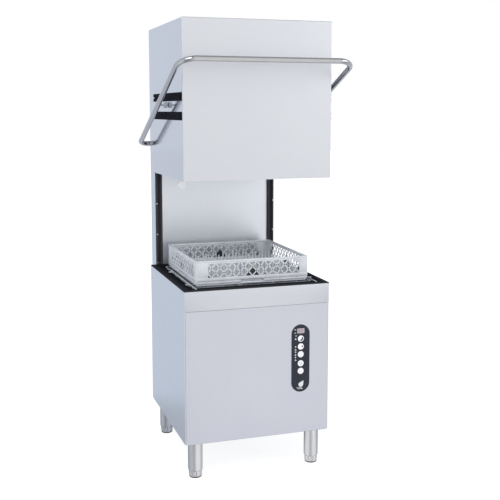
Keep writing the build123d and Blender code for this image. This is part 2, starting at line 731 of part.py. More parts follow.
def dosing_pumps():
    """Detergent and rinse-aid dosers on a bracket."""
    head_front, front, rear = DOSER_YS
    bracket = block(*DOSER_BRACKET_X, rear, rear + 3, PAN_Z + PANEL, DOSER_BRACKET_TOP)
    for x in DOSER_XS:
        bracket += block(x - DOSER_HALF, x + DOSER_HALF, front, rear, *DOSER_ZS)
        bracket += rod_y(x, sum(DOSER_ZS) / 2, head_front, front, DOSER_HEAD_R)
    return bracket


def inlet_valve():
    """Solenoid water valve behind the inlet thread."""
    x, z = INLET_X, CONNECTION_Z
    top = z + 26
    valve = block(x - VALVE_HALF, x + VALVE_HALF, VALVE_FRONT, CONNECTION_INNER, z - 20, top)
    return valve + rod_z(x, VALVE_FRONT + 22, top, top + 36, 16.0)


def water_inlet():
    """Threaded inlet through the rear panel."""
    x, z = INLET_X, CONNECTION_Z
    thread = rod_y(x, z, CONNECTION_INNER, INLET_END, INLET_R)
    collar = rod_y(x, z, CABINET_REAR, CABINET_REAR + 4, INLET_R + 5)
    return thread + collar - rod_y(x, z, BORE_START, INLET_END, INLET_BORE_R)


def drain_stub():
    """Waste water outlet through the rear panel."""
    x, z = DRAIN[0], DRAIN_OUT_Z
    stub = rod_y(x, z, BORE_START, DRAIN_END, DRAIN_OUT_R)
    stub += rod_y(x, z, CABINET_REAR, CABINET_REAR + 3, DRAIN_OUT_R + 6)
    return stub - rod_y(x, z, BORE_START, DRAIN_END, DRAIN_OUT_R - DRAIN_WALL)


def cable_gland():
    """Gland in the rear panel for the supply cable."""
    x, z = GLAND_X, CONNECTION_Z
    nut = Pos(x, CABINET_REAR + 10, z) * Rot(90, 0, 0) * extrude(RegularPolygon(GLAND_NUT_R, 6), 10)
    body = rod_y(x, z, CONNECTION_INNER, CABINET_REAR + 24, GLAND_THREAD_R) + nut
    return body - rod_y(x, z, CONNECTION_INNER, CABINET_REAR + 24, CABLE_BORE_R)


def electrical_box():
    """Contactor and terminal box with a lid."""
    x0, x1 = ELECTRICAL_X
    y0, y1 = ELECTRICAL_Y
    top, wall = ELECTRICAL_TOP, ELECTRICAL_WALL
    box = block(x0, x1, y0, y1, PAN_Z + PANEL, top)
    box -= block(x0 + wall, x1 - wall, y0 + wall, y1 - wall, PAN_Z + 3, top - wall)
    lid_front, lid_top = y0 - ELECTRICAL_LID, top + ELECTRICAL_LID
    return box + block(x0 - wall, x1 + wall, lid_front, y0, PAN_Z + PANEL, lid_top)


def internal_hoses():
    """Intake, drain, overflow, inlet and rinse hoses."""
    ix, iy = INTAKE
    dx, dy = DRAIN
    ox, oy = OVERFLOW
    px, py, pz = RINSE_PUMP
    top = SUMP_BOTTOM - SLIP
    low = DRAIN_OUT_Z
    high = TEE_Z - 30
    side = AXIS_Y + MANIFOLD_R
    boiler_x, boiler_y = BOILER
    fill_z = CONNECTION_Z + 15
    suction = [(ix, iy, top), (ix, iy, PUMP_Z), (-VOLUTE_HALF - SLIP, iy, PUMP_Z)]
    fill_end = boiler_x + BOILER_R + HOSE_GAP
    waste = [(dx, dy, top), (dx, dy, low), (dx, BORE_START - SLIP, low)]
    spill = [(ox, oy, SOCKET_BOTTOM - SLIP), (ox, oy, low), (ox, SPILL_Y, low), (dx, SPILL_Y, low)]
    fill = [(INLET_X, VALVE_FRONT, fill_z), (INLET_X, FILL_Y, fill_z), (fill_end, FILL_Y, fill_z)]
    rinse = [
        (px, py, pz + RINSE_PUMP_OUTLET),
        (px, py, high),
        (-110, side + 40, high),
        (0, side + 40, high),
        (0, side + HOSE_GAP, high),
    ]
    drain_hose = pipe(waste, 40, WASTE_R) + pipe(spill, 30, SPILL_R)
    link = rod_y(px, pz, py + RINSE_PUMP_HALF, boiler_y - BOILER_R - HOSE_GAP, FILL_R)
    intake_hose = pipe(suction, 25, SUCTION_R)
    fill_hose = pipe(fill, 25, FILL_R)
    rinse_hose = pipe(rinse, 20, RINSE_R)
    return joined([intake_hose, drain_hose, fill_hose, rinse_hose, link])


# Rack

def rack_guide_frame():
    """Wire frame in the tank mouth that carries the rack, between two side wires."""
    z = WORKTOP_TOP - 0.5 - GUIDE_WIRE_R
    x, y0, y1 = GUIDE_X, GUIDE_FRONT, GUIDE_REAR
    frame = both_sides(pipe([(0, y0, z), (x, y0, z), (x, y1, z), (0, y1, z)], 14, GUIDE_WIRE_R))
    frame += [rod_y(cross, z, y0, y1, CROSS_WIRE_R) for cross in CROSS_WIRE_XS]
    frame += [rod_x(cross, z, -x, x, CROSS_WIRE_R) for cross in CROSS_WIRE_YS]
    hooks = [block(x - 2, MOUTH_X - 0.5, y, y + 20, z - CROSS_WIRE_R, z) for y in HOOK_YS]
    return frame + both_sides(Part() + hooks + guide_side_wire(z))


def guide_side_wire(post_bottom):
    """Wire beside the rack, standing on posts, with its rings resting on the rim."""
    x, r = SIDE_WIRE_X, SIDE_WIRE_R
    z = WORKTOP_TOP + 0.2 + r
    wire = rod_y(x, z, SIDE_WIRE_FRONT, SIDE_WIRE_REAR, r)
    ends = [Pos(x, y, z) * Sphere(r) for y in (SIDE_WIRE_FRONT, SIDE_WIRE_REAR)]
    posts = [rod_z(x, y, post_bottom, z, r) for y in SIDE_WIRE_POSTS]
    rings = [Pos(x + 10, y, z - 0.5) * Torus(8, 2) for y in RING_YS]
    return [wire] + ends + posts + rings


def rack_floor():
    """Open grid that carries the dishes, between the basket's walls."""
    half = RACK_HALF - RACK_WALL
    floor = block(-half, half, -half, half, WORKTOP_TOP, WORKTOP_TOP + RACK_FLOOR)
    pitch = 2 * (half - RACK_RIB / 2) / RACK_CELLS
    centres = [(i - (RACK_CELLS - 1) / 2) * pitch for i in range(RACK_CELLS)]
    cell = pitch - RACK_RIB
    holes = [Pos(x, y, WORKTOP_TOP) * Box(cell, cell, 3 * RACK_FLOOR) for x in centres for y in centres]
    return floor - holes


def rack_wall(half_length):
    """One side of the basket with two windows, on the side facing -Y."""
    y0, y1 = -RACK_HALF, -RACK_HALF + RACK_WALL
    top = WORKTOP_TOP + RACK_HEIGHT
    wall = block(-half_length, half_length, y0, y1, WORKTOP_TOP, top)
    for x in (-WINDOW_X, WINDOW_X):
        x0, x1 = x - WINDOW_HALF, x + WINDOW_HALF
        wall -= block(x0, x1, y0 - CUT, y1 + CUT, WORKTOP_TOP + WINDOW_SILL, top - WINDOW_HEAD)
    return wall


def dish_rack():
    """Square basket: a grid floor within four slotted walls that meet at the corners."""
    solids = [rack_floor()]
    for turn in range(4):
        half_length = RACK_HALF if turn % 2 == 0 else RACK_HALF - RACK_WALL
        solids.append(Rot(0, 0, 90 * turn) * rack_wall(half_length))
    return joined([Pos(0, AXIS_Y, 0) * solid for solid in solids])


# Column

def column_rail():
    """Upright slide rail with a groove for the hood's shoes."""
    half = RAIL_WIDTH / 2
    x = RAIL_X
    rail = block(x - half, x + half, RAIL_FRONT, RAIL_REAR, RAIL_BOTTOM, COLUMN_TOP)
    g = GROOVE_WIDTH / 2
    return rail - block(x - g, x + g, RAIL_FRONT, RAIL_FRONT + GROOVE_DEPTH, RAIL_BOTTOM, COLUMN_TOP)


def rail_stop_buffer():
    """Rubber stop at the foot of a rail's groove."""
    g = GROOVE_WIDTH / 2 - SLIP
    y1 = RAIL_FRONT + GROOVE_DEPTH - SLIP
    return block(RAIL_X - g, RAIL_X + g, RAIL_FRONT + 0.5, y1, RAIL_BOTTOM, RAIL_BOTTOM + 16)


def chamber_rear_wall():
    """Rear wall of the wash chamber, between and behind the rails."""
    y0, y1 = RAIL_REAR, RAIL_REAR + SHEET
    wall = block(-COLUMN_HALF, COLUMN_HALF, y0, y1, WORKTOP_TOP + 1, COLUMN_TOP)
    wall -= rod_y(0, UPPER_PIPE_Z, y0 - CUT, y1 + CUT, RISER_R + HOLE_GAP)
    return wall - rod_y(VENT[0], VENT[1], y0 - CUT, y1 + CUT, VENT_STEM_R + SLIP)


def chamber_vent_cap():
    """Round moulded cap on the rear wall."""
    x, z = VENT
    cap = fillet(rod_y(x, z, RAIL_REAR - 10, RAIL_REAR, VENT_CAP_R).edges().sort_by(Axis.Y)[0], 5)
    return cap + rod_y(x, z, RAIL_REAR, RAIL_REAR + 12, VENT_STEM_R)


def column_cover():
    """Casing of the rear column, open towards the chamber and the cabinet."""
    split = WORKTOP_TOP + 1
    lower_front = CABINET_REAR + 0.2
    upper_front = RAIL_REAR + SHEET + SLIP
    outer = block(-COLUMN_HALF, COLUMN_HALF, lower_front, COLUMN_REAR, COLUMN_BOTTOM, COLUMN_TOP)
    outer += block(-COLUMN_HALF, COLUMN_HALF, upper_front, lower_front, split, COLUMN_TOP)
    x = COLUMN_HALF - PANEL
    outer -= block(-x, x, upper_front, COLUMN_REAR - PANEL, COLUMN_BOTTOM + PANEL, COLUMN_TOP - PANEL)
    return outer - rod_x(PIVOT_Y, PIVOT_Z, -COLUMN_HALF - 1, COLUMN_HALF + 1, BUSH_R - 2)


def shaft_bush():
    """Flanged bush for the handle shaft, pressed from outside into the casing."""
    wall_inner = COLUMN_HALF - PANEL
    bush = rod_x(PIVOT_Y, PIVOT_Z, wall_inner - 5, COLUMN_HALF, BUSH_R - 2 - SLIP)
    bush += rod_x(PIVOT_Y, PIVOT_Z, COLUMN_HALF + RUNNING, COLUMN_HALF + 4, BUSH_R + 2)
    bush += rod_x(PIVOT_Y, PIVOT_Z, COLUMN_HALF, COLUMN_HALF + 1, BUSH_R - 2 - SLIP)
    return bush - rod_x(PIVOT_Y, PIVOT_Z, wall_inner - 6, COLUMN_HALF + 5, SHAFT_R + RUNNING)


def crank_pin():
    """Where the spring hooks on to the crank: Y and Z."""
    angle = radians(CRANK_ANGLE)
    return PIVOT_Y + CRANK_LENGTH * cos(angle), PIVOT_Z + CRANK_LENGTH * sin(angle)


def balance_spring():
    """Close-wound extension spring between the crank and the column's foot."""
    y, pin_z = crank_pin()
    top, bottom = pin_z - 40, SPRING_BOTTOM
    x = CRANK_X + SPRING_OFFSET
    coil = rod_z(x, y, bottom, top, SPRING_R) - rod_z(x, y, bottom, top, SPRING_R - 4)
    for z in range(int(bottom) + SPRING_PITCH, int(top) - 10, SPRING_PITCH):
        coil -= rod_z(x, y, z, z + 3, SPRING_R) - rod_z(x, y, z, z + 3, SPRING_R - 1)
    upper_hook = rod_z(x, y, top - 3, pin_z - 8, 2.0) + rod_z(x, y, top - 3, top, SPRING_R - 3)
    lower_hook = rod_z(x, y, COLUMN_BOTTOM + PANEL, bottom + 3, 2.0)
    return coil + upper_hook + lower_hook + rod_z(x, y, bottom, bottom + 3, SPRING_R - 3)


# Hood

def rounded_hood_block(inset, bend):
    """The hood's outline as a solid with bent front and top edges."""
    x = HALF_WIDTH - inset
    solid = block(-x, x, FRONT + inset, HOOD_REAR - inset, HOOD_BOTTOM, HOOD_TOP - inset)
    front_edges = solid.edges().filter_by(Axis.Z).group_by(Axis.Y)[0]
    top_edges = solid.edges().group_by(Axis.Z)[-1]
    return fillet(front_edges + top_edges, bend)


def hood_shell():
    """Folded hood, open below and at the rear between two returns and a lip."""
    shell = rounded_hood_block(0.0, HOOD_BEND) - rounded_hood_block(SHEET, HOOD_BEND - SHEET)
    x = HOOD_RETURN_X
    return shell - block(-x, x, HOOD_REAR - SHEET - 1, HOOD_REAR + 1, HOOD_BOTTOM, HOOD_TOP - HOOD_LIP)


def hood_track(bottom):
    """Black strip on the hood's side, one of the two that the roller runs between."""
    x0, x1 = HALF_WIDTH, HALF_WIDTH + TRACK_THICKNESS
    strip = block(x0, x1, TRACK_FRONT, TRACK_REAR, bottom, bottom + TRACK_HEIGHT)
    strip = chamfer(strip.edges().filter_by(Axis.Y).group_by(Axis.X)[-1], 2)
    groove = block(x1 - 2, x1, TRACK_FRONT, TRACK_REAR, bottom + 13, bottom + TRACK_HEIGHT - 13)
    return strip - groove


def hood_shoe(offset):
    """Slide shoe on a hood return, running in the rail's groove."""
    z0 = HOOD_BOTTOM + offset
    g = GROOVE_WIDTH / 2 - SLIP
    tip = RAIL_FRONT + GROOVE_DEPTH - 0.4
    shoe = block(RAIL_X - g, RAIL_X + g, HOOD_REAR, tip, z0, z0 + SHOE_LENGTH)
    return shoe + block(RAIL_X - 12, RAIL_X + 12, HOOD_REAR, HOOD_REAR + 6, z0, z0 + SHOE_LENGTH)


# Handle

def handle_tube():
    """Bent tube: a bar across the front on two arms from the rear pivot."""
    points = [
        (-SHAFT_END - 0.5, PIVOT_Y, PIVOT_Z),
        (-ARM_X, PIVOT_Y, PIVOT_Z),
        (-ARM_X, BAR_Y, BAR_Z),
        (ARM_X, BAR_Y, BAR_Z),
        (ARM_X, PIVOT_Y, PIVOT_Z),
        (SHAFT_END + 0.5, PIVOT_Y, PIVOT_Z),
    ]
    tube = pipe(points, [35, 70, 70, 35], HANDLE_R, HANDLE_BORE_R)
    bore = rod_x(ROLLER_Y, ROLLER_Z, -ARM_X - 4, ARM_X + 4, ROLLER_PIN_R + RUNNING)
    return tube - bore


def handle_roller():
    """Roller and pin on a handle arm, standing between the hood's strips."""
    wheel = rod_x(ROLLER_Y, ROLLER_Z, HALF_WIDTH + 2.5, HALF_WIDTH + 17.5, ROLLER_R)
    wheel = chamfer(wheel.edges(), 1)
    return wheel + rod_x(ROLLER_Y, ROLLER_Z, HALF_WIDTH + 1, ARM_X - 6, ROLLER_PIN_R)


def cross_shaft():
    """Shaft through the column, with a crank for each balance spring."""
    shaft = rod_x(PIVOT_Y, PIVOT_Z, -SHAFT_END, SHAFT_END, SHAFT_R)
    shaft += rod_x(PIVOT_Y, PIVOT_Z, -SHAFT_END - 22, SHAFT_END + 22, HANDLE_BORE_R - SLIP)
    y, z = crank_pin()
    lever = extrude(Rot(0, 0, 90) * SlotOverall(CRANK_LENGTH + CRANK_WIDTH, CRANK_WIDTH), 4, both=True)
    for side in (-1, 1):
        middle_y, middle_z = (PIVOT_Y + y) / 2, (PIVOT_Z + z) / 2
        place = Pos(side * CRANK_X, middle_y, middle_z) * Rot(CRANK_ANGLE, 0, 0) * Rot(0, 90, 0)
        shaft += place * lever
        x0, x1 = sorted((side * CRANK_X, side * (CRANK_X + 24)))
        shaft += rod_x(y, z, x0, x1, 6.0)
    return shaft


def screw_x(y, z):
    """Button-head screw in a side panel."""
    return rod_x(y, z, HALF_WIDTH, HALF_WIDTH + SCREW_HEIGHT, SCREW_R)


def rail_screw(z):
    """Screw head on the face of a rail."""
    return rod_y(RAIL_X + RAIL_SCREW_OFFSET, z, RAIL_FRONT - RAIL_SCREW_HEIGHT, RAIL_FRONT, RAIL_SCREW_R)


def rear_screw(x, z, face):
    """Button-head screw in a rear-facing panel."""
    return rod_y(x, z, face, face + SCREW_HEIGHT, SCREW_R)


def panel_screws():
    """Screw heads on the side panels, the rails, the rear panel and the column."""
    heads = [screw_x(y, SIDE_SCREW_Z) for y in SIDE_SCREW_YS]
    heads += [rail_screw(z) for z in RAIL_SCREW_ZS]
    heads += [rear_screw(REAR_SCREW_X, z, CABINET_REAR) for z in REAR_SCREW_ZS]
    heads += [rear_screw(COLUMN_SCREW_X, z, COLUMN_REAR) for z in COLUMN_SCREW_ZS]
    return joined([both_sides(head) for head in heads])


NODES = {
    "base_frame": base_frame(),
    "bottom_pan": bottom_pan(),
    "side_panels": side_panels(),
    "rear_panel": rear_panel(),
    "service_panel": service_panel(),
    "control_fascia": control_fascia(),
    "worktop_surround": worktop_surround(),
    "control_overlay": control_overlay(),
    "display_window": display_window(),
    "control_board": control_board(),
    "leg_sleeves": joined(four_corners(leg_sleeve)),
    "wash_tank": wash_tank(),
    "filter_trays": joined([filter_tray(-1), filter_tray(1)]),
    "sump_strainer": sump_strainer(),
    "tank_heater": tank_heater(),
    "overflow_pipe": overflow_pipe(),
    "lower_manifold": lower_manifold(),
    "wash_riser": wash_riser(),
    "wash_pump_volute": wash_pump_volute(),
    "wash_pump_motor": wash_pump_motor(),
    "pump_rotor": pump_rotor(),
    "boiler_tank": boiler_tank(),
    "boiler_heater": boiler_heater(),
    "rinse_pump": rinse_pump(),
    "dosing_pumps": dosing_pumps(),
    "inlet_valve": inlet_valve(),
    "water_inlet": water_inlet(),
    "drain_stub": drain_stub(),
    "cable_gland": cable_gland(),
    "electrical_box": electrical_box(),
    "internal_hoses": internal_hoses(),
    "rack_guide_frame": rack_guide_frame(),
    "dish_rack": dish_rack(),
    "column_rails": both_sides(column_rail()),
    "rail_stop_buffers": both_sides(rail_stop_buffer()),
    "chamber_rear_wall": chamber_rear_wall(),
    "chamber_vent_cap": chamber_vent_cap(),
    "column_cover": column_cover(),
    "shaft_bushes": both_sides(shaft_bush()),
    "balance_springs": both_sides(balance_spring()),
    "hood_shell": hood_shell(),
    "hood_tracks": joined([both_sides(hood_track(bottom)) for bottom in TRACK_BOTTOMS]),
    "hood_slide_shoes": joined([both_sides(hood_shoe(offset)) for offset in SHOE_OFFSETS]),
    "handle_tube": handle_tube(),
    "handle_rollers": both_sides(handle_roller()),
    "cross_shaft": cross_shaft(),
    "panel_screws": panel_screws(),
}
for arm_name, arm_sizes in SPRAY_ARMS.items():
    NODES[arm_name] = spray_arm(*arm_sizes)
for button_name, button_z in BUTTONS:
    NODES[button_name] = push_button(button_z)
FOOT_NAMES = ("foot_front_left", "foot_rear_left", "foot_front_right", "foot_rear_right")
for foot_name, foot in zip(FOOT_NAMES, four_corners(levelling_foot)):
    NODES[foot_name] = foot

for node, shape in NODES.items():
    export_step(shape, f"parts/{node}.step")
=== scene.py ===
import math
import bmesh
import bpy
from mathutils import Euler, Matrix, Vector


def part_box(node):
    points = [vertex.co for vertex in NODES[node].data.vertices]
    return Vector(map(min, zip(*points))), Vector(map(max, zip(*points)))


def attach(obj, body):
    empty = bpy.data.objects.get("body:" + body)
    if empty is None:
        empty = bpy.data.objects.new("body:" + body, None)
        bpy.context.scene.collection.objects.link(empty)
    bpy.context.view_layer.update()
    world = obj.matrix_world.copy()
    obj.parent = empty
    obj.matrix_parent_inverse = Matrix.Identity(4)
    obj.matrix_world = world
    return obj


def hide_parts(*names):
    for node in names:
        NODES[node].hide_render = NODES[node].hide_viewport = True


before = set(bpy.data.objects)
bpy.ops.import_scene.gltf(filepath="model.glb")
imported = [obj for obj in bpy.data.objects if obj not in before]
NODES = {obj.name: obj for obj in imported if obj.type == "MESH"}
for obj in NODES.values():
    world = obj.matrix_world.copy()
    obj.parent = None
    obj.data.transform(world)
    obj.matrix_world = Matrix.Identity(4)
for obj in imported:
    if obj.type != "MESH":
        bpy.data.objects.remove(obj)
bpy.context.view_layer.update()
CABINET = "cabinet"

# Lengths are in metres, in the part's frame: +X to the right, +Y to the back, +Z up.
# PROUD keeps a print, or the basket's foot, just clear of the face that it lies on.
PROUD = 0.0002


def middle(box):
    """The middle of a (low, high) box."""
    return (box[0] + box[1]) / 2


# ---------------------------------------------------------------- materials

def add(tree, kind, inputs=None, **settings):
    """A shader node with its sockets set to values or linked to other sockets."""
    node = tree.nodes.new(kind)
    for key, value in settings.items():
        setattr(node, key, value)
    for key, value in (inputs or {}).items():
        if isinstance(value, bpy.types.NodeSocket):
            tree.links.new(value, node.inputs[key])
        else:
            node.inputs[key].default_value = value
    return node


def new_material(name, metallic=0.0, **uniform):
    """A material with one Principled shader, whose uniform values sit on its sockets."""
    made = bpy.data.materials.new(name)
    made.use_nodes = True
    tree = made.node_tree
    shader = tree.nodes["Principled BSDF"]
    shader.inputs["Metallic"].default_value = metallic
    for key, value in uniform.items():
        shader.inputs[key.replace("_", " ")].default_value = value
    return made, tree, shader


def noise(tree, scale, stretch=(1.0, 1.0, 1.0), detail=3.0, roughness=0.5):
    """Noise in the object's own space, stretched along an axis for grain."""
    place = add(tree, "ShaderNodeTexCoord").outputs["Object"]
    mapped = add(tree, "ShaderNodeMapping", {"Vector": place, "Scale": stretch})
    inputs = {"Vector": mapped.outputs[0], "Scale": scale, "Detail": detail, "Roughness": roughness}
    return add(tree, "ShaderNodeTexNoise", inputs).outputs[0]


def colours(tree, factor, stops):
    """A colour ramp through (position, colour) stops."""
    node = add(tree, "ShaderNodeValToRGB", {"Fac": factor})
    ramp = node.color_ramp
    while len(ramp.elements) < len(stops):
        ramp.elements.new(0.5)
    for element, (position, colour) in zip(ramp.elements, stops):
        element.position = position
        element.color = (*colour, 1.0)
    return node.outputs["Color"]


def spread(tree, factor, low, high, start=0.3, end=0.7):
    """A value that runs from low to high as the factor goes from start to end."""
    inputs = {"Value": factor, "From Min": start, "From Max": end, "To Min": low, "To Max": high}
    return add(tree, "ShaderNodeMapRange", inputs).outputs[0]


def blend_colour(tree, factor, first, second, kind="MIX"):
    """Two colours mixed by a factor."""
    node = add(tree, "ShaderNodeMix", data_type="RGBA", blend_type=kind)
    for index, value in ((0, factor), (6, first), (7, second)):
        if isinstance(value, bpy.types.NodeSocket):
            tree.links.new(value, node.inputs[index])
        else:
            node.inputs[index].default_value = value if index == 0 else (*value, 1.0)
    return node.outputs[2]


def bump(tree, shader, height, strength, distance=0.001):
    """Adds surface relief from a height, on top of any relief already there."""
    before = shader.inputs["Normal"]
    inputs = {"Height": height, "Strength": strength, "Distance": distance}
    if before.is_linked:
        inputs["Normal"] = before.links[0].from_socket
    node = add(tree, "ShaderNodeBump", inputs)
    tree.links.new(node.outputs[0], before)


def total(tree, first, second):
    """The sum of two values."""
    return add(tree, "ShaderNodeMath", {0: first, 1: second}, operation="ADD").outputs[0]


def gradient(tree, vector, kind):
    """A gradient of a kind: SPHERICAL about the origin, or RADIAL, which starts at -X and runs by -Y."""
    return add(tree, "ShaderNodeTexGradient", {"Vector": vector}, gradient_type=kind).outputs["Fac"]


def shade(colour, factor):
    """A colour made lighter or darker."""
    return tuple(min(1.0, channel * factor) for channel in colour)


# Noise scales for grain that runs along X or Z.
GRAIN = {"x": (6.0, 700.0, 700.0), "z": (700.0, 700.0, 6.0)}
DULL_BLEND = 0.004


def sheet_steel(name, colour, along, gloss=0.2, wave=0.1, front=None):
    """Satin stainless sheet: fine grain lines, faint clouding and a slightly uneven surface.

    front gives the Y of a duller front face and how rough that face is.
    """
    made, tree, shader = new_material(name, metallic=1.0)
    grain = noise(tree, 1.0, GRAIN[along], detail=5.0, roughness=0.6)
    cloud = noise(tree, 5.0, detail=4.0)
    lined = colours(tree, grain, [(0.3, shade(colour, 0.98)), (0.7, shade(colour, 1.015))])
    clouded = colours(tree, cloud, [(0.35, (0.975, 0.98, 0.985)), (0.65, (1.0, 1.0, 1.0))])
    tree.links.new(blend_colour(tree, 1.0, lined, clouded, "MULTIPLY"), shader.inputs["Base Color"])
    rough = total(tree, spread(tree, grain, gloss - 0.02, gloss + 0.03), spread(tree, cloud, -0.015, 0.02))
    if front:
        place = add(tree, "ShaderNodeTexCoord").outputs["Object"]
        depth = add(tree, "ShaderNodeSeparateXYZ", {"Vector": place}).outputs["Y"]
        dull_from, dull_gloss = front
        dulling = spread(tree, depth, dull_gloss - gloss, 0.0, dull_from, dull_from + DULL_BLEND)
        rough = total(tree, rough, dulling)
    tree.links.new(rough, shader.inputs["Roughness"])
    bump(tree, shader, noise(tree, 2.2, detail=1.0), wave, 0.004)
    bump(tree, shader, grain, 0.02, 0.0002)
    return made


# Painted reflections round an upright polished tube, as (share of a turn, tone): bright streaks and dark
# lines for the studio's lights and dark gaps, fixed to the way each side faces.
REFLECTION_BANDS = ((0.0, 0.34), (0.035, 0.80), (0.09, 0.96), (0.14, 0.90), (0.18, 0.56), (0.21, 0.72),
               (0.245, 1.0), (0.31, 0.95), (0.36, 0.62), (0.40, 0.74), (0.45, 0.34), (0.55, 0.75),
               (0.72, 1.0), (0.95, 0.34))


def bright_steel(name, colour, gloss=0.1, painted_reflections=False):
    """Polished stainless tube: smooth, with faint drawing marks and handling haze.

    painted_reflections paints the long bright streaks and darker lines of the studio's reflections round an
    upright tube, set by the way each side faces.
    """
    made, tree, shader = new_material(name, metallic=1.0)
    haze = noise(tree, 22.0, detail=5.0)
    marks = noise(tree, 1.0, (90.0, 90.0, 900.0), detail=3.0)
    tint = colours(tree, haze, [(0.3, shade(colour, 0.94)), (0.7, colour)])
    if painted_reflections:
        # Painted reflections: tones set by the direction each side faces, standing for the studio's lights
        # and gaps.
        outward = add(tree, "ShaderNodeTexCoord").outputs["Normal"]
        around = gradient(tree, outward, "RADIAL")
        lines = colours(tree, around, [(place, (tone, tone, tone)) for place, tone in REFLECTION_BANDS])
        tint = blend_colour(tree, 1.0, tint, lines, "MULTIPLY")
    tree.links.new(tint, shader.inputs["Base Color"])
    tree.links.new(spread(tree, haze, gloss, gloss + 0.09), shader.inputs["Roughness"])
    bump(tree, shader, marks, 0.04, 0.0002)
    return made


def moulded(name, colour, rough=0.4, texture=900.0, relief=0.15, **uniform):
    """Moulded plastic or rubber: fine skin texture and slight flow variation."""
    made, tree, shader = new_material(name, **uniform)
    flow = noise(tree, 18.0, detail=3.0)
    skin = noise(tree, texture, detail=2.0)
    tint = colours(tree, flow, [(0.3, shade(colour, 0.9)), (0.7, shade(colour, 1.06))])
    tree.links.new(tint, shader.inputs["Base Color"])
    tree.links.new(spread(tree, skin, rough - 0.05, rough + 0.08), shader.inputs["Roughness"])
    bump(tree, shader, skin, relief, 0.0003)
    return made


def coated(name, colour, rough=0.38):
    """Powder-coated steel with orange peel and lighter rubbed edges."""
    made, tree, shader = new_material(name, IOR=1.02)
    peel = noise(tree, 420.0, detail=2.0)
    dust = noise(tree, 9.0, detail=6.0, roughness=0.65)
    edge = add(tree, "ShaderNodeNewGeometry").outputs["Pointiness"]
    base = colours(tree, dust, [(0.35, colour), (0.75, shade(colour, 1.7))])
    worn = spread(tree, edge, 0.0, 0.3, 0.56, 0.66)
    tint = blend_colour(tree, worn, base, (0.2, 0.2, 0.21))
    tree.links.new(tint, shader.inputs["Base Color"])
    tree.links.new(spread(tree, dust, rough - 0.06, rough + 0.12), shader.inputs["Roughness"])
    bump(tree, shader, peel, 0.12, 0.0004)
    return made


def galvanised(name, colour):
    """Galvanised steel with its crystal pattern."""
    made, tree, shader = new_material(name, metallic=0.9)
    place = add(tree, "ShaderNodeTexCoord").outputs["Object"]
    crystals = add(tree, "ShaderNodeTexVoronoi", {"Vector": place, "Scale": 70.0})
    tint = blend_colour(tree, 0.25, colour, crystals.outputs["Color"])
    tree.links.new(tint, shader.inputs["Base Color"])
    rough = spread(tree, crystals.outputs["Distance"], 0.38, 0.55, 0.0, 0.8)
    tree.links.new(rough, shader.inputs["Roughness"])
    return made


def cast(name, colour, metallic=0.7):
    """Cast metal with a grainy skin."""
    made, tree, shader = new_material(name, metallic=metallic)
    grit = noise(tree, 260.0, detail=4.0)
    soot = noise(tree, 12.0, detail=5.0)
    tint = colours(tree, soot, [(0.3, shade(colour, 0.75)), (0.7, shade(colour, 1.1))])
    tree.links.new(tint, shader.inputs["Base Color"])
    tree.links.new(spread(tree, soot, 0.45, 0.62), shader.inputs["Roughness"])
    bump(tree, shader, grit, 0.35, 0.0006)
    return made


def display_screen(name):
    """Lit display behind a smoked window: pale segments' glow with a fine dot grid."""
    made, tree, shader = new_material(name, Roughness=0.12, Coat_Weight=0.6)
    place = add(tree, "ShaderNodeTexCoord").outputs["Object"]
    dots = add(tree, "ShaderNodeTexChecker", {"Vector": place, "Scale": 1400.0})
    soft = noise(tree, 130.0, detail=2.0)
    glow = colours(tree, soft, [(0.3, (0.5, 0.42, 0.45)), (0.7, (0.66, 0.57, 0.6))])
    dotted = spread(tree, dots.outputs["Fac"], 0.0, 0.22, 0.0, 1.0)
    tint = blend_colour(tree, dotted, glow, (0.3, 0.25, 0.28))
    tree.links.new(tint, shader.inputs["Base Color"])
    return made


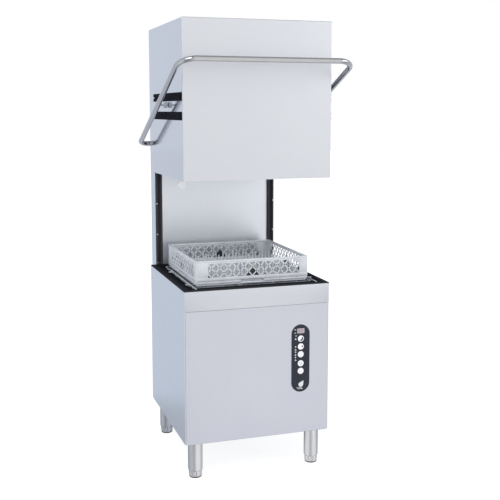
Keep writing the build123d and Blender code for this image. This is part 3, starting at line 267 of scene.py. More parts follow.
SHEET = 0.001
HOOD_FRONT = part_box("hood_shell")[0].y + SHEET
MATERIALS = {
    "hood": sheet_steel("hood_steel", (0.72, 0.735, 0.77), "x", 0.09, 0.06, (HOOD_FRONT, 0.4)),
    "panel_front": sheet_steel("front_panel_steel", (0.66, 0.675, 0.74), "z", 0.32),
    "fascia": sheet_steel("fascia_steel", (0.70, 0.715, 0.765), "x", 0.32),
    "panel_side": sheet_steel("side_panel_steel", (0.74, 0.78, 0.83), "z", 0.26),
    "chamber": sheet_steel("chamber_steel", (0.80, 0.83, 0.87), "z", 0.33),
    "inner": sheet_steel("inner_steel", (0.62, 0.64, 0.67), "x", 0.3),
    # The handle's tube gets a darker tone than the other polished steel: painted shade for its shaded arms.
    "tube": bright_steel("polished_tube", (0.57, 0.57, 0.575), 0.10),
    # The legs and feet carry painted reflections: bright streaks and dark lines fixed round the tube.
    "leg": bright_steel("polished_leg", (0.84, 0.84, 0.85), 0.2, True),
    "screw": bright_steel("screw_steel", (0.78, 0.78, 0.79), 0.14),
    "wire": bright_steel("guide_wire_steel", (0.74, 0.75, 0.77), 0.16),
    "black_rim": coated("black_rim_coat", (0.009, 0.009, 0.012), 0.5),
    "black_plastic": moulded("black_plastic", (0.013, 0.013, 0.018), 0.45, IOR=1.03),
    "overlay": moulded("slate_overlay", (0.030, 0.035, 0.050), 0.35, 1500.0, 0.05, IOR=1.3),
    # The white buttons and the inlet valve glow faintly: painted light that keeps them white in shade.
    "white": moulded("white_button_plastic_painted_glow", (0.93, 0.94, 0.96), 0.28, 1200.0, 0.04, Emission_Strength=0.12),
    # The vent cap glows: painted light that keeps it bright in the shade under the hood.
    "vent": moulded("white_cap_painted_glow", (0.95, 0.96, 0.98), 0.3, 1200.0, 0.04, Emission_Strength=0.32),
    "roller": moulded("roller_plastic", (0.68, 0.72, 0.80), 0.4),
    "mark_white": moulded("white_print", (0.85, 0.86, 0.87), 0.5),
    "mark_dark": moulded("dark_print", (0.03, 0.035, 0.05), 0.5, IOR=1.3),
    "mark_grey": moulded("grey_print", (0.5, 0.53, 0.57), 0.5),
    "rack": moulded("rack_plastic", (0.78, 0.80, 0.84), 0.42, 700.0, 0.12),
    # Near-black plates of painted shade, for the dark seen through the basket's lowest lattice windows.
    "shade_fill": moulded("black_painted_shade", (0.02, 0.02, 0.025), 0.5),
    "grey_plastic": moulded("grey_plastic", (0.30, 0.31, 0.33), 0.45),
    "hose": moulded("hose_rubber", (0.028, 0.028, 0.03), 0.5, 350.0, 0.3),
    "buffer": moulded("buffer_rubber", (0.02, 0.02, 0.02), 0.6, 400.0, 0.3),
    "galvanised": galvanised("galvanised_steel", (0.5, 0.52, 0.54)),
    "motor": cast("motor_casting", (0.33, 0.35, 0.38)),
    "brass": cast("brass_fitting", (0.6, 0.42, 0.16), 1.0),
    "element": cast("heating_element", (0.36, 0.32, 0.28)),
    "screen": display_screen("display_screen"),
}


# ---------------------------------------------------------------- mesh tools

class Solid:
    """Gathers closed shapes into one mesh; place is applied to each new shape."""

    def __init__(self):
        self.mesh = bmesh.new()
        self.place = Matrix.Identity(4)

    def keep(self, verts, matrix):
        bmesh.ops.transform(self.mesh, matrix=self.place @ matrix, verts=verts)

    def box(self, low, high, bevel=0.0, segments=2):
        """A box between two corners, with its edges rounded by bevel."""
        low, high = Vector(low), Vector(high)
        made = bmesh.ops.create_cube(self.mesh, size=1.0)["verts"]
        self.keep(made, Matrix.Translation(middle((low, high))) @ Matrix.Diagonal((*(high - low), 1.0)))
        if bevel:
            edges = list({edge for vert in made for edge in vert.link_edges})
            bmesh.ops.bevel(self.mesh, geom=edges, offset=bevel, segments=segments,
                            affect="EDGES", profile=0.5, clamp_overlap=True)

    def bar(self, start, end, radius, sides=12, end_radius=None):
        """A round bar or cone between two points."""
        start, end = Vector(start), Vector(end)
        run = end - start
        turn = run.to_track_quat("Z", "Y").to_matrix().to_4x4()
        made = bmesh.ops.create_cone(
            self.mesh, cap_ends=True, segments=sides, depth=run.length,
            radius1=radius, radius2=radius if end_radius is None else end_radius)["verts"]
        self.keep(made, Matrix.Translation((start + end) / 2) @ turn)

    def beam(self, start, end, width, depth, normal):
        """A rectangular bar between two points; depth is measured along normal."""
        start, end, normal = Vector(start), Vector(end), Vector(normal)
        run = end - start
        along = run.normalized()
        side = along.cross(normal).normalized()
        turn = Matrix((along, side, normal)).transposed().to_4x4()
        made = bmesh.ops.create_cube(self.mesh, size=1.0)["verts"]
        scale = Matrix.Diagonal((run.length, width, depth, 1.0))
        self.keep(made, Matrix.Translation((start + end) / 2) @ turn @ scale)

    def lathe(self, profile, centre, normal=(0, 0, 1), sides=64, radius_at=None):
        """A closed profile of (radius, height) turned about an axis through centre."""
        turn = Vector(normal).to_track_quat("Z", "Y").to_matrix().to_4x4()
        rows = []
        for radius, height in profile:
            row = []
            for step in range(sides):
                angle = 2 * math.pi * step / sides
                out = radius if radius_at is None else radius_at(radius, height, angle)
                row.append(self.mesh.verts.new((out * math.cos(angle), out * math.sin(angle), height)))
            rows.append(row)
        for row, above in zip(rows, rows[1:]):
            for step in range(sides):
                other = (step + 1) % sides
                self.mesh.faces.new((row[step], row[other], above[other], above[step]))
        self.mesh.faces.new(list(reversed(rows[0])))
        self.mesh.faces.new(rows[-1])
        verts = [vert for row in rows for vert in row]
        self.keep(verts, Matrix.Translation(Vector(centre)) @ turn)

    def plate(self, outline, thickness, matrix):
        """A flat shape from an outline in its own XY plane, thickened along +Z."""
        base = [self.mesh.verts.new((x, y, 0.0)) for x, y in outline]
        top = [self.mesh.verts.new((x, y, thickness)) for x, y in outline]
        self.mesh.faces.new(list(reversed(base)))
        self.mesh.faces.new(top)
        count = len(outline)
        for step in range(count):
            other = (step + 1) % count
            self.mesh.faces.new((base[step], base[other], top[other], top[step]))
        self.keep(base + top, matrix)

    def piece(self, name, material, body, slot, replaces=(), sharp=35.0):
        """Finishes the mesh as a named object that rides on a body; edges steeper than sharp stay crisp."""
        bmesh.ops.recalc_face_normals(self.mesh, faces=self.mesh.faces)
        data = bpy.data.meshes.new(name)
        self.mesh.to_mesh(data)
        self.mesh.free()
        data.shade_smooth()
        data.set_sharp_from_angle(angle=math.radians(sharp))
        made = bpy.data.objects.new(name, data)
        bpy.context.scene.collection.objects.link(made)
        data.materials.append(MATERIALS[material])
        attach(made, body)
        if replaces:
            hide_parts(*replaces)
        return made


def facing_front(x, y, z):
    """Places an XY outline upright, so that its thickness grows towards the front."""
    return Matrix.Translation((x, y, z)) @ Euler((math.pi / 2, 0, 0)).to_matrix().to_4x4()


def arc(centre, radius, start, end, steps):
    """Points on a circle, from one angle to another in degrees."""
    points = []
    for step in range(steps + 1):
        angle = math.radians(start + (end - start) * step / steps)
        points.append((centre[0] + radius * math.cos(angle), centre[1] + radius * math.sin(angle)))
    return points


def rounded_outline(half_x, half_y, radii, steps=6):
    """A rectangle with its own radius at each corner, from the lower left, anticlockwise."""
    corners = ((-1, -1, 180), (1, -1, 270), (1, 1, 0), (-1, 1, 90))
    points = []
    for (side_x, side_y, start), radius in zip(corners, radii):
        centre = (side_x * (half_x - radius), side_y * (half_y - radius))
        points += arc(centre, radius, start, start + 90, steps)
    return points


def cut_holes(made, cutters, name):
    """Cuts the cutters' shape out of a piece."""
    data = bpy.data.meshes.new(name)
    cutters.mesh.to_mesh(data)
    cutters.mesh.free()
    tool = bpy.data.objects.new(name, data)
    bpy.context.scene.collection.objects.link(tool)
    cut = made.modifiers.new("cut", "BOOLEAN")
    cut.operation = "DIFFERENCE"
    cut.solver = "EXACT"
    cut.object = tool
    bpy.context.view_layer.update()
    result = bpy.data.meshes.new_from_object(made.evaluated_get(bpy.context.evaluated_depsgraph_get()))
    made.modifiers.clear()
    made.data = result
    bpy.data.objects.remove(tool)


# ---------------------------------------------------------------- rack

# The basket's lattice; SHORTEST_BAR is the least share of a bar that is kept at a window's edge.
LATTICE_PITCH = 0.036
LATTICE_RISE = 0.040
LATTICE_BAR = (0.0046, 0.0026)
LATTICE_DEPTH = 0.0028
SHORTEST_BAR = 0.05

# Along a wall: its solid ends, how far each bar stops short of the corners, the grip and the ribs.
LEFT_END, RIGHT_END = 0.053, 0.036
SILL_INSET, RIM_INSET, END_INSET = 0.001, 0.0012, 0.003
LIP_INSET, BAND_INSET, FOOT_INSET = 0.005, 0.005, 0.007
JAMB_HALF, RIB_HALF, CHEEK_HALF, GRIP_HALF = 0.002, 0.0012, 0.0014, 0.052
RIBS = (0.088, 0.126, 0.164, 0.202)

# Behind a wall's face: where each bar starts and ends.
RIM_DEPTH, LIP_DEPTH, SILL_DEPTH = (0.0, 0.009), (0.0025, 0.005), (0.0, 0.005)
END_DEPTH, JAMB_DEPTH, FOOT_DEPTH = (0.001, 0.004), (0.0008, 0.0048), (0.006, 0.0095)
BAND_DEPTH, LEDGE_DEPTH, RIB_DEPTH = (0.0060, 0.0085), (0.0004, 0.0085), (0.0020, 0.009)
CHEEK_DEPTH, SHELF_DEPTH, GRIP_BACK_DEPTH = (0.0008, 0.0165), (0.0030, 0.0155), (0.0150, 0.0165)

# Above the basket's foot.
FOOT_HEIGHT, SILL_HEIGHT, END_FOOT = 0.0100, 0.033, 0.024
BAND_FOOT, LEDGE_FOOT, LEDGE_TOP = 0.0115, 0.0095, 0.0135
RIB_FOOT, GRIP_FOOT, POST_FOOT = 0.002, 0.003, 0.011
SHELF_FEET, SHELF_HEIGHT = (0.0035, 0.0125), 0.0022
SILL_BAR, SILL_LAP, BAND_DROP, GRIP_BACK_RISE = 0.012, 0.001, 0.011, 0.004

# Below the basket's rim.
RIM_HEIGHT, RIM_LAP, HEAD_DROP, LIP_DROP, JAMB_DROP, POST_DROP = 0.008, 0.006, 0.013, 0.014, 0.01, 0.004

# Roundings.
RIM_ROUND, SILL_ROUND, LEDGE_ROUND, FOOT_ROUND = 0.0022, 0.0012, 0.0009, 0.0008
END_ROUND, SHELF_ROUND, BAND_ROUND = 0.0006, 0.0006, 0.0004
POST_INSET, POST_RADIUS = 0.0052, 0.0044

# The black plates of painted shade in the lowest lattice windows: their gap to the bars round them, and the
# end plates' sizes.
SHADE_GAP, SHADE_THICKNESS, SHADE_DEPTH, SHADE_LIFT = 0.002, 0.0012, 0.0066, 0.001
LEFT_SHADE = (0.016, 0.019)
RIGHT_SHADE_FOOT, RIGHT_SHADE_TOP, RIGHT_SHADE_TIP = 0.004, 0.040, (0.013, 0.022)

# The grid floor and its pegs.
GRID_CELLS, GRID_INSET = 24, 0.008
GRID_BAR, MAIN_BAR, MAIN_BAR_EVERY = 0.0022, 0.0034, 4
GRID_LIFT, GRID_HEIGHT, CROSS_LIFT = 0.001, 0.005, 0.0004
PEGS_EACH_SIDE, PEG_PITCH = 4, 0.0485
PEG_FOOT, PEG_TOP = 0.004, 0.070
PEG_FOOT_RADIUS, PEG_TOP_RADIUS = 0.0042, 0.0024


def lattice(solid, left, right, bottom, top, out):
    """Crossing diagonal bars clipped to a window, with a crossing at the foot of its middle."""
    height = top - bottom
    lean = height * LATTICE_PITCH / LATTICE_RISE
    for slope in (-1, 1):
        first = math.floor((left - max(0.0, slope * lean)) / LATTICE_PITCH) - 1
        last = math.ceil((right + lean) / LATTICE_PITCH) + 1
        for step in range(first, last):
            foot_x = step * LATTICE_PITCH
            head_x = foot_x + slope * lean
            start, end = 0.0, 1.0
            for edge, inward in ((left, 1), (right, -1)):
                foot_gap, head_gap = (foot_x - edge) * inward, (head_x - edge) * inward
                if foot_gap < 0 and head_gap < 0:
                    start, end = 1.0, 0.0
                elif foot_gap < 0:
                    start = max(start, foot_gap / (foot_gap - head_gap))
                elif head_gap < 0:
                    end = min(end, foot_gap / (foot_gap - head_gap))
            if end - start > SHORTEST_BAR:
                low = (foot_x + slope * lean * start, out, bottom + height * start)
                high = (foot_x + slope * lean * end, out, bottom + height * end)
                solid.beam(low, high, *LATTICE_BAR, (0, -1, 0))


def rack_side(solid, half, bottom, top):
    """One wall of the basket, on the side facing -Y of the basket's own space."""
    left, right = -half + LEFT_END, half - RIGHT_END
    sill, head = bottom + SILL_HEIGHT, top - HEAD_DROP
    under_rim = top - RIM_LAP

    def part(start, end, depth, foot, crown, bevel=0.0):
        """A bar between two places along the wall, at a (start, end) depth behind its face."""
        solid.box((start, depth[0] - half, foot), (end, depth[1] - half, crown), bevel)

    def whole(inset, depth, foot, crown, bevel=0.0):
        """A bar along the whole wall but for an inset at each end."""
        part(inset - half, half - inset, depth, foot, crown, bevel)

    whole(RIM_INSET, RIM_DEPTH, top - RIM_HEIGHT, top, RIM_ROUND)
    whole(LIP_INSET, LIP_DEPTH, top - LIP_DROP, under_rim)
    for start, end in ((END_INSET - half, left), (right, half - END_INSET)):
        part(start, end, END_DEPTH, bottom + END_FOOT, under_rim, END_ROUND)
    whole(SILL_INSET, SILL_DEPTH, sill - SILL_BAR, sill + SILL_LAP, SILL_ROUND)
    lattice(solid, left, right, sill, head, LATTICE_DEPTH - half)
    for x in (left, right):
        part(x - JAMB_HALF, x + JAMB_HALF, JAMB_DEPTH, sill - SILL_LAP, top - JAMB_DROP)
    rack_band(part, half, bottom, sill - BAND_DROP)
    whole(FOOT_INSET, FOOT_DEPTH, bottom, bottom + FOOT_HEIGHT, FOOT_ROUND)
    corner = (POST_INSET - half, POST_INSET - half)
    solid.bar((*corner, bottom + POST_FOOT), (*corner, top - POST_DROP), POST_RADIUS, 24)


def rack_band(part, half, bottom, band):
    """The ribbed band below a wall's lattice, broken in the middle by a hollow grip."""
    for side in (-1, 1):
        start, end = sorted((side * GRIP_HALF, side * (half - BAND_INSET)))
        part(start, end, BAND_DEPTH, bottom + BAND_FOOT, band, BAND_ROUND)
        part(start, end, LEDGE_DEPTH, bottom + LEDGE_FOOT, bottom + LEDGE_TOP, LEDGE_ROUND)
        for rib in RIBS:
            x = side * rib
            part(x - RIB_HALF, x + RIB_HALF, RIB_DEPTH, bottom + RIB_FOOT, band)
        x = side * GRIP_HALF
        part(x - CHEEK_HALF, x + CHEEK_HALF, CHEEK_DEPTH, bottom + GRIP_FOOT, band)
    part(-GRIP_HALF, GRIP_HALF, GRIP_BACK_DEPTH, bottom + GRIP_FOOT, band + GRIP_BACK_RISE)
    for lift in SHELF_FEET:
        foot = bottom + lift
        part(-GRIP_HALF, GRIP_HALF, SHELF_DEPTH, foot, foot + SHELF_HEIGHT, SHELF_ROUND)


def rack_shade_plates(shade_plates, half, bottom):
    """Black plates of painted shade filling the lowest windows of one wall's lattice: one in its middle and
    a smaller one at each end.
    """
    wide, tall = LATTICE_PITCH - SHADE_GAP, LATTICE_RISE - SHADE_GAP
    left, right = -half + LEFT_END + SHADE_GAP, half - RIGHT_END - SHADE_GAP
    tip_in, tip_up = RIGHT_SHADE_TIP
    middle_shade = [(-wide, 0.0), (wide, 0.0), (0.0, tall)]
    left_shade = [(left, 0.0), (left + LEFT_SHADE[0], 0.0), (left, LEFT_SHADE[1])]
    right_shade = [(right, RIGHT_SHADE_FOOT), (right, RIGHT_SHADE_TOP), (right - tip_in, tip_up)]
    place = facing_front(0.0, SHADE_DEPTH - half, bottom + SILL_HEIGHT + SHADE_LIFT)
    for outline in (middle_shade, left_shade, right_shade):
        shade_plates.plate(outline, SHADE_THICKNESS, place)


def rack_floor(solid, half, bottom):
    """The basket's open grid floor, with rows of tapered pegs."""
    reach = half - GRID_INSET
    foot = bottom + GRID_LIFT
    for step in range(GRID_CELLS + 1):
        at = -reach + 2 * reach * step / GRID_CELLS
        thick = GRID_BAR if step % MAIN_BAR_EVERY else MAIN_BAR
        near, far = at - thick / 2, at + thick / 2
        solid.box((near, -reach, foot), (far, reach, foot + GRID_HEIGHT))
        solid.box((-reach, near, foot + CROSS_LIFT), (reach, far, foot + CROSS_LIFT + GRID_HEIGHT))
    places = [step * PEG_PITCH for step in range(-PEGS_EACH_SIDE, PEGS_EACH_SIDE + 1)]
    for x in places:
        for y in places:
            start, end = (x, y, bottom + PEG_FOOT), (x, y, bottom + PEG_TOP)
            solid.bar(start, end, PEG_FOOT_RADIUS, 10, PEG_TOP_RADIUS)


def build_rack():
    """Plastic basket: lattice walls between solid corners, stepped foot, open grid floor and pegs."""
    low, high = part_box("dish_rack")
    centre = middle((low, high))
    half = (high.x - low.x) / 2
    bottom, top = low.z + PROUD, high.z
    solid, shade_plates = Solid(), Solid()
    upright = Matrix.Translation((centre.x, centre.y, 0.0))
    for turn in range(4):
        solid.place = shade_plates.place = upright @ Matrix.Rotation(math.radians(90 * turn), 4, "Z")
        rack_side(solid, half, bottom, top)
        rack_shade_plates(shade_plates, half, bottom)
    solid.place = upright
    rack_floor(solid, half, bottom)
    # The plates paint the shade seen through the lowest lattice windows.
    shade_plates.piece("basket_shade_plates", "shade_fill", "rack", "rack_plastic")
    solid.piece("wash_basket", "rack", "rack", "rack_plastic", ("dish_rack",), sharp=40.0)


# ---------------------------------------------------------------- cabinet panels

BUTTONS = ("button_power", "button_short_cycle", "button_medium_cycle", "button_long_cycle", "button_drain")
PANEL_EDGE = 0.0007
PANEL_LOWER_CORNER, PANEL_UPPER_CORNER = 0.010, 0.002
BUTTON_PLAY = 0.0003
CUTTER_REACH = 0.01
FASCIA_EDGE = 0.0005


def build_service_panel():
    """Lower front panel with a fine edge, rounded lower corners and a bore for each button."""
    low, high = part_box("service_panel")
    centre, half = middle((low, high)), (high - low) / 2
    radii = (PANEL_LOWER_CORNER,) * 2 + (PANEL_UPPER_CORNER,) * 2
    rolled = 0.3 * PANEL_EDGE
    layers = ((high.y - low.y, 0.0), (0.0, PANEL_EDGE), (rolled, rolled), (PANEL_EDGE, 0.0))
    solid = Solid()
    rings = []
    for back, inset in layers:
        outline = rounded_outline(half.x - inset, half.z - inset, radii, 8)
        rings.append([solid.mesh.verts.new((centre.x + x, low.y + back, centre.z + z)) for x, z in outline])
    for ring, after in zip(rings, rings[1:]):
        for step in range(len(ring)):
            other = (step + 1) % len(ring)
            solid.mesh.faces.new((ring[step], ring[other], after[other], after[step]))
    solid.mesh.faces.new(rings[0])
    solid.mesh.faces.new(rings[-1])
    made = solid.piece(
        "front_service_panel", "panel_front", CABINET, "stainless_satin", ("service_panel",), sharp=25.0)
    cutters = Solid()
    for name in BUTTONS:
        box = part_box(name)
        at, bore = middle(box), (box[1].x - box[0].x) / 2 + BUTTON_PLAY
        start, end = (at.x, low.y - CUTTER_REACH, at.z), (at.x, high.y + CUTTER_REACH, at.z)
        cutters.bar(start, end, bore, 48)
    cut_holes(made, cutters, "panel_cutters")


def build_fascia():
    """Upper front band with rolled edges."""
    solid = Solid()
    solid.box(*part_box("control_fascia"), FASCIA_EDGE, 3)
    solid.piece("front_fascia_band", "fascia", CABINET, "stainless_satin", ("control_fascia",), sharp=25.0)


# ---------------------------------------------------------------- control strip

PRINT_THICKNESS = 0.0003
DIGIT_THICKNESS = 0.0002
SIGN_COLUMN, SIGN_ROWS = 0.0235, 6
DASH_SHIFT, DISPLAY_DASHES, POWER_DASH = 0.002, (0.006, -0.008), 0.013
DROP_TIP, DROP_RADIUS, DROP_LEAN = 0.0205, 0.0105, -38
DROP_FOOT, DROP_SHIFT = 0.032, 0.0015
WAVES = 2
WAVE_FOOT, WAVE_START = 0.018, -0.0175
WAVE_SHIFT, WAVE_PITCH = 0.004, 0.0045
DIGIT_OFFSET = 0.0065
SEGMENT_PITCH = 0.0031
SEGMENT_LONG, SEGMENT_SHORT = 0.0026, 0.0006


def crescent():
    """A crescent, open towards the upper left."""
    outer = arc((0.0, 0.0), 0.0098, -105, 40, 16)
    inner = arc((-0.0050, 0.0040), 0.0090, 22, -90, 14)
    return [outer + inner]


def side_dot():
    """A dot to the right of the middle."""
    return [arc((0.0062, 0.0008), 0.0037, 0, 345, 23)]


def broken_ring():
    """A ring in three parts."""
    outer, inner, sweep = 0.0072, 0.0062, 84
    return [arc((0, 0), outer, start, start + sweep, 8) + arc((0, 0), inner, start + sweep, start, 8)
            for start in (8, 128, 248)]


def open_square():
    """Four bars with a gap at each corner of the square that they form."""
    reach, half, half_width = 0.0042, 0.0048, 0.16
    bar = rounded_outline(half, half, (0.001,) * 4, 3)
    upright = [[(u * half_width + side * reach, v) for u, v in bar] for side in (-1, 1)]
    level = [[(u, v * half_width + side * reach) for u, v in bar] for side in (-1, 1)]
    return upright + level


def four_dots():
    """Four dots at the corners of a square."""
    reach, radius = 0.0033, 0.0014
    return [arc((side_x * reach, side_z * reach), radius, 0, 340, 17)
            for side_x in (-1, 1) for side_z in (-1, 1)]


BUTTON_SIGNS = dict(zip(BUTTONS, (crescent, side_dot, broken_ring, open_square, four_dots)))


def build_button_marks():
    """The printed sign on each button's cap: dark on the upper two, grey on the others."""
    for name, sign in BUTTON_SIGNS.items():
        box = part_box(name)
        at = middle(box)
        solid = Solid()
        for outline in sign():
            solid.plate(outline, PRINT_THICKNESS, facing_front(at.x, box[0].y + PROUD, at.z))
        tone = "mark_dark" if name in BUTTONS[:2] else "mark_grey"
        solid.piece(name + "_mark", tone, name + "_cap", "black_plastic")


def build_overlay_marks():
    """White signs in a column beside the display and the buttons, with a drop over waves at the foot."""
    low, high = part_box("control_overlay")
    x, face = middle((low, high)).x, low.y + PROUD
    column = x - SIGN_COLUMN
    solid = Solid()

    def mark(outline, at_x, at_z, turn=0):
        """One white sign, turned by some degrees."""
        place = facing_front(at_x, face, at_z) @ Matrix.Rotation(math.radians(turn), 4, "Z")
        solid.plate(outline, PRINT_THICKNESS, place)

    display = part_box("display_window")
    display_z = middle(display).z
    power_z, short_z, long_z = (middle(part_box(name)).z for name in (BUTTONS[0], BUTTONS[1], BUTTONS[3]))
    dash = rounded_outline(0.0034, 0.0014, (0.0006,) * 4, 3)
    tall_dash = [(u * 0.8, v * 1.8) for u, v in dash]
    triangle = [(-0.0040, -0.0036), (0.0040, -0.0036), (0.0, 0.0038)]
    for lift in DISPLAY_DASHES:
        mark(dash, column - DASH_SHIFT, display_z + lift)
    mark(dash, column + DASH_SHIFT, power_z + POWER_DASH)
    mark(triangle, column, power_z)
    for step in range(SIGN_ROWS):
        z = short_z + (long_z - short_z) * step / (SIGN_ROWS + 0.4)
        mark(triangle if step % 2 else tall_dash, column, z, -25 + 20 * (step % 3))
    drop = [(0.0, DROP_TIP)] + arc((0.0, 0.0), DROP_RADIUS, 145, 395, 25)
    mark(drop, x + DROP_SHIFT, low.z + DROP_FOOT, DROP_LEAN)
    for row in range(WAVES):
        mark(wave(WAVE_START + WAVE_SHIFT * row), x, low.z + WAVE_FOOT - WAVE_PITCH * row)
    solid.piece("control_strip_print", "mark_white", CABINET, "white_plastic")
    build_display_segments(display)


def wave(start):
    """A wavy line of two periods and one thickness, from a place on the X axis."""
    points, advance, swing, half_width = 21, 0.0012, 0.0012, 0.001
    line = [(start + advance * step, swing * math.sin(step * math.pi / 5)) for step in range(points)]
    upper = [(u, v + half_width) for u, v in line]
    lower = [(u, v - half_width) for u, v in reversed(line)]
    return lower + upper


def build_display_segments(display):
    """Two seven-segment digits on the display."""
    centre = middle(display)
    solid = Solid()
    lit = {"a": (0, 2), "b": (1, 1), "c": (1, -1), "d": (0, -2), "e": (-1, -1), "f": (-1, 1), "g": (0, 0)}
    for offset, segments in ((-DIGIT_OFFSET, "acdfg"), (DIGIT_OFFSET, "abcdef")):
        for key in segments:
            column, row = lit[key]
            half = (SEGMENT_SHORT, SEGMENT_LONG) if column else (SEGMENT_LONG, SEGMENT_SHORT)
            outline = rounded_outline(*half, (0.0004,) * 4, 2)
            x, z = centre.x + offset + column * SEGMENT_PITCH, centre.z + row * SEGMENT_PITCH
            solid.plate(outline, DIGIT_THICKNESS, facing_front(x, display[0].y + PROUD, z))
    solid.piece("display_digits", "mark_white", CABINET, "display_glass")


# ---------------------------------------------------------------- legs, screws and small parts

SCALLOPS, SCALLOP_DEPTH = 14, 0.0016
SCALLOPED = (0.009, 0.030)
SHANK_WALL, SHANK_BORE_FLOOR = 0.006, 0.05
PAD_PROFILE = ((0.0215, 0.0), (0.0242, 0.0004), (0.0259, 0.0018), (0.0261, 0.0040), (0.0248, 0.0052))
GRIP_PROFILE = ((0.0215, 0.0042), (0.0246, 0.0044), (0.0262, 0.0062), (0.0272, 0.0095), (0.0277, 0.014),
                (0.0279, 0.0215), (0.0279, 0.0295), (0.0276, 0.0308), (0.0262, 0.0316), (0.0262, 0.0345))
SHANK_FOOT, SHANK_CENTRE = 0.0352, 0.001


def foot_radius(radius, height, angle):
    """Scallops round the exposed end of a levelling foot."""
    if SCALLOPED[0] < height < SCALLOPED[1]:
        return radius - SCALLOP_DEPTH * (0.5 + 0.5 * math.cos(SCALLOPS * angle))
    return radius


def build_feet():
    """Levelling feet: a dark pad, a scalloped end and a shank that runs up into the sleeve."""
    for name in ("foot_front_left", "foot_rear_left", "foot_front_right", "foot_rear_right"):
        low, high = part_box(name)
        centre = middle((low, high))
        centre.z = 0.0
        radius = (high.x - low.x) / 2
        bore = radius - SHANK_WALL
        shank = ((radius, SHANK_FOOT), (radius, high.z), (bore, high.z), (bore, SHANK_BORE_FLOOR),
                 (SHANK_CENTRE, SHANK_BORE_FLOOR))
        foot = Solid()
        foot.lathe(GRIP_PROFILE + shank, centre, sides=112, radius_at=foot_radius)
        foot.piece(name + "_shank", "leg", name + "_body", "stainless_polished", (name,), sharp=30.0)
        pad = Solid()
        pad.lathe(PAD_PROFILE, centre, sides=64)
        pad.piece(name + "_pad", "buffer", name + "_body", "buffer_rubber")


SCREW_DOME = ((0.0045, 0.0), (0.0045, 0.0005), (0.0041, 0.0011), (0.0032, 0.0016), (0.0018, 0.00195))
SCREW_SOCKET = ((0.00135, 0.0019), (0.00135, 0.0008))
FLAT_HEAD = (0.67, 0.42)


def screw_head(solid, base, normal, sides, wide=1.0, tall=1.0, profile=SCREW_DOME + SCREW_SOCKET):
    """A screw's or rivet's head on a surface, with its width and height scaled."""
    solid.lathe([(radius * wide, height * tall) for radius, height in profile], base, normal, sides)


def build_screws():
    """Screw heads wherever the cabinet has one: domed on the sides and the back, flat on the front."""
    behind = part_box("column_rails")[1].y
    solid = Solid()
    for low, high in loose_parts(NODES["panel_screws"]):
        size, centre = high - low, middle((low, high))
        if size.x < min(size.y, size.z):
            side = 1 if centre.x > 0 else -1
            screw_head(solid, (low.x if side > 0 else high.x, centre.y, centre.z), (side, 0, 0), 24)
        elif centre.y > behind:
            screw_head(solid, (centre.x, low.y, centre.z), (0, 1, 0), 24)
        else:
            screw_head(solid, (centre.x, high.y, centre.z), (0, -1, 0), 24, *FLAT_HEAD)
    solid.piece("panel_screw_heads", "screw", CABINET, "stainless_polished", ("panel_screws",), sharp=30.0)


def loose_parts(node):
    """The bounding box of each separate shell in a CAD node."""
    mesh = bmesh.new()
    mesh.from_mesh(node.data)
    bmesh.ops.remove_doubles(mesh, verts=mesh.verts, dist=1e-6)
    boxes = []
    left = set(mesh.verts)
    while left:
        group, queue = [], [left.pop()]
        while queue:
            vert = queue.pop()
            group.append(vert.co)
            for edge in vert.link_edges:
                other = edge.other_vert(vert)
                if other in left:
                    left.remove(other)
                    queue.append(other)
        low = Vector([min(point[axis] for point in group) for axis in range(3)])
        high = Vector([max(point[axis] for point in group) for axis in range(3)])
        boxes.append((low, high))
    mesh.free()
    return sorted(boxes, key=lambda box: tuple(round(value, 4) for value in box[0]))


TRACK_SCREW_SUNK, TRACK_SCREW_INSET = 0.0021, 0.012
TRACK_SCREW_SCALE = (0.8, 0.9)


def build_track_screws():
    """A screw at the rear end of each black strip on the hood's sides."""
    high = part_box("hood_tracks")[1]
    heights = sorted({round(middle(box).z, 4) for box in loose_parts(NODES["hood_tracks"])})
    solid = Solid()
    for side in (-1, 1):
        for z in heights:
            base = (side * (high.x - TRACK_SCREW_SUNK), high.y - TRACK_SCREW_INSET, z)
            screw_head(solid, base, (side, 0, 0), 20, *TRACK_SCREW_SCALE)
    solid.piece("track_screw_heads", "screw", "hood", "stainless_polished", (), sharp=30.0)


LOUVRE_COLUMNS, LOUVRE_ROWS = (-0.12, 0.16), 7
LOUVRE_FOOT, LOUVRE_PITCH, LOUVRE_LENGTH = 0.285, 0.017, 0.09
LOUVRE_SECTION = ((0.0, 0.0), (0.0032, 0.0012), (0.0038, 0.0030), (0.0028, 0.0062), (0.0, 0.0088))
PLATE_HALF, PLATE_FOOT, PLATE_TOP = 0.035, 0.30, 0.345
PLATE_THICKNESS, PLATE_ROUND = 0.0006, 0.0002
RIVET_INSET, RIVET_SCALE = 0.004, (0.4, 0.5)


def build_rear_details():
    """Pressed louvres and a blank rating plate on the rear panel."""
    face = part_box("rear_panel")[1].y
    sideways = Matrix(((0, 0, 1, 0), (1, 0, 0, 0), (0, 1, 0, 0), (0, 0, 0, 1)))
    louvres = Solid()
    for column in LOUVRE_COLUMNS:
        for row in range(LOUVRE_ROWS):
            start = (column - LOUVRE_LENGTH / 2, face, LOUVRE_FOOT + LOUVRE_PITCH * row)
            louvres.plate(LOUVRE_SECTION, LOUVRE_LENGTH, Matrix.Translation(start) @ sideways)
    louvres.piece("rear_louvres", "panel_side", CABINET, "stainless_satin", (), sharp=40.0)
    plate, rivets = Solid(), Solid()
    front = face + PLATE_THICKNESS
    plate.box((-PLATE_HALF, face, PLATE_FOOT), (PLATE_HALF, front, PLATE_TOP), PLATE_ROUND)
    plate.piece("rating_plate", "inner", CABINET, "stainless_satin")
    for side in (-1, 1):
        for z in (PLATE_FOOT + RIVET_INSET, PLATE_TOP - RIVET_INSET):
            base = (side * (PLATE_HALF - RIVET_INSET), front, z)
            screw_head(rivets, base, (0, 1, 0), 16, *RIVET_SCALE, SCREW_DOME)
    rivets.piece("rating_plate_rivets", "screw", CABINET, "stainless_polished")


# ---------------------------------------------------------------- CAD nodes that keep their shape

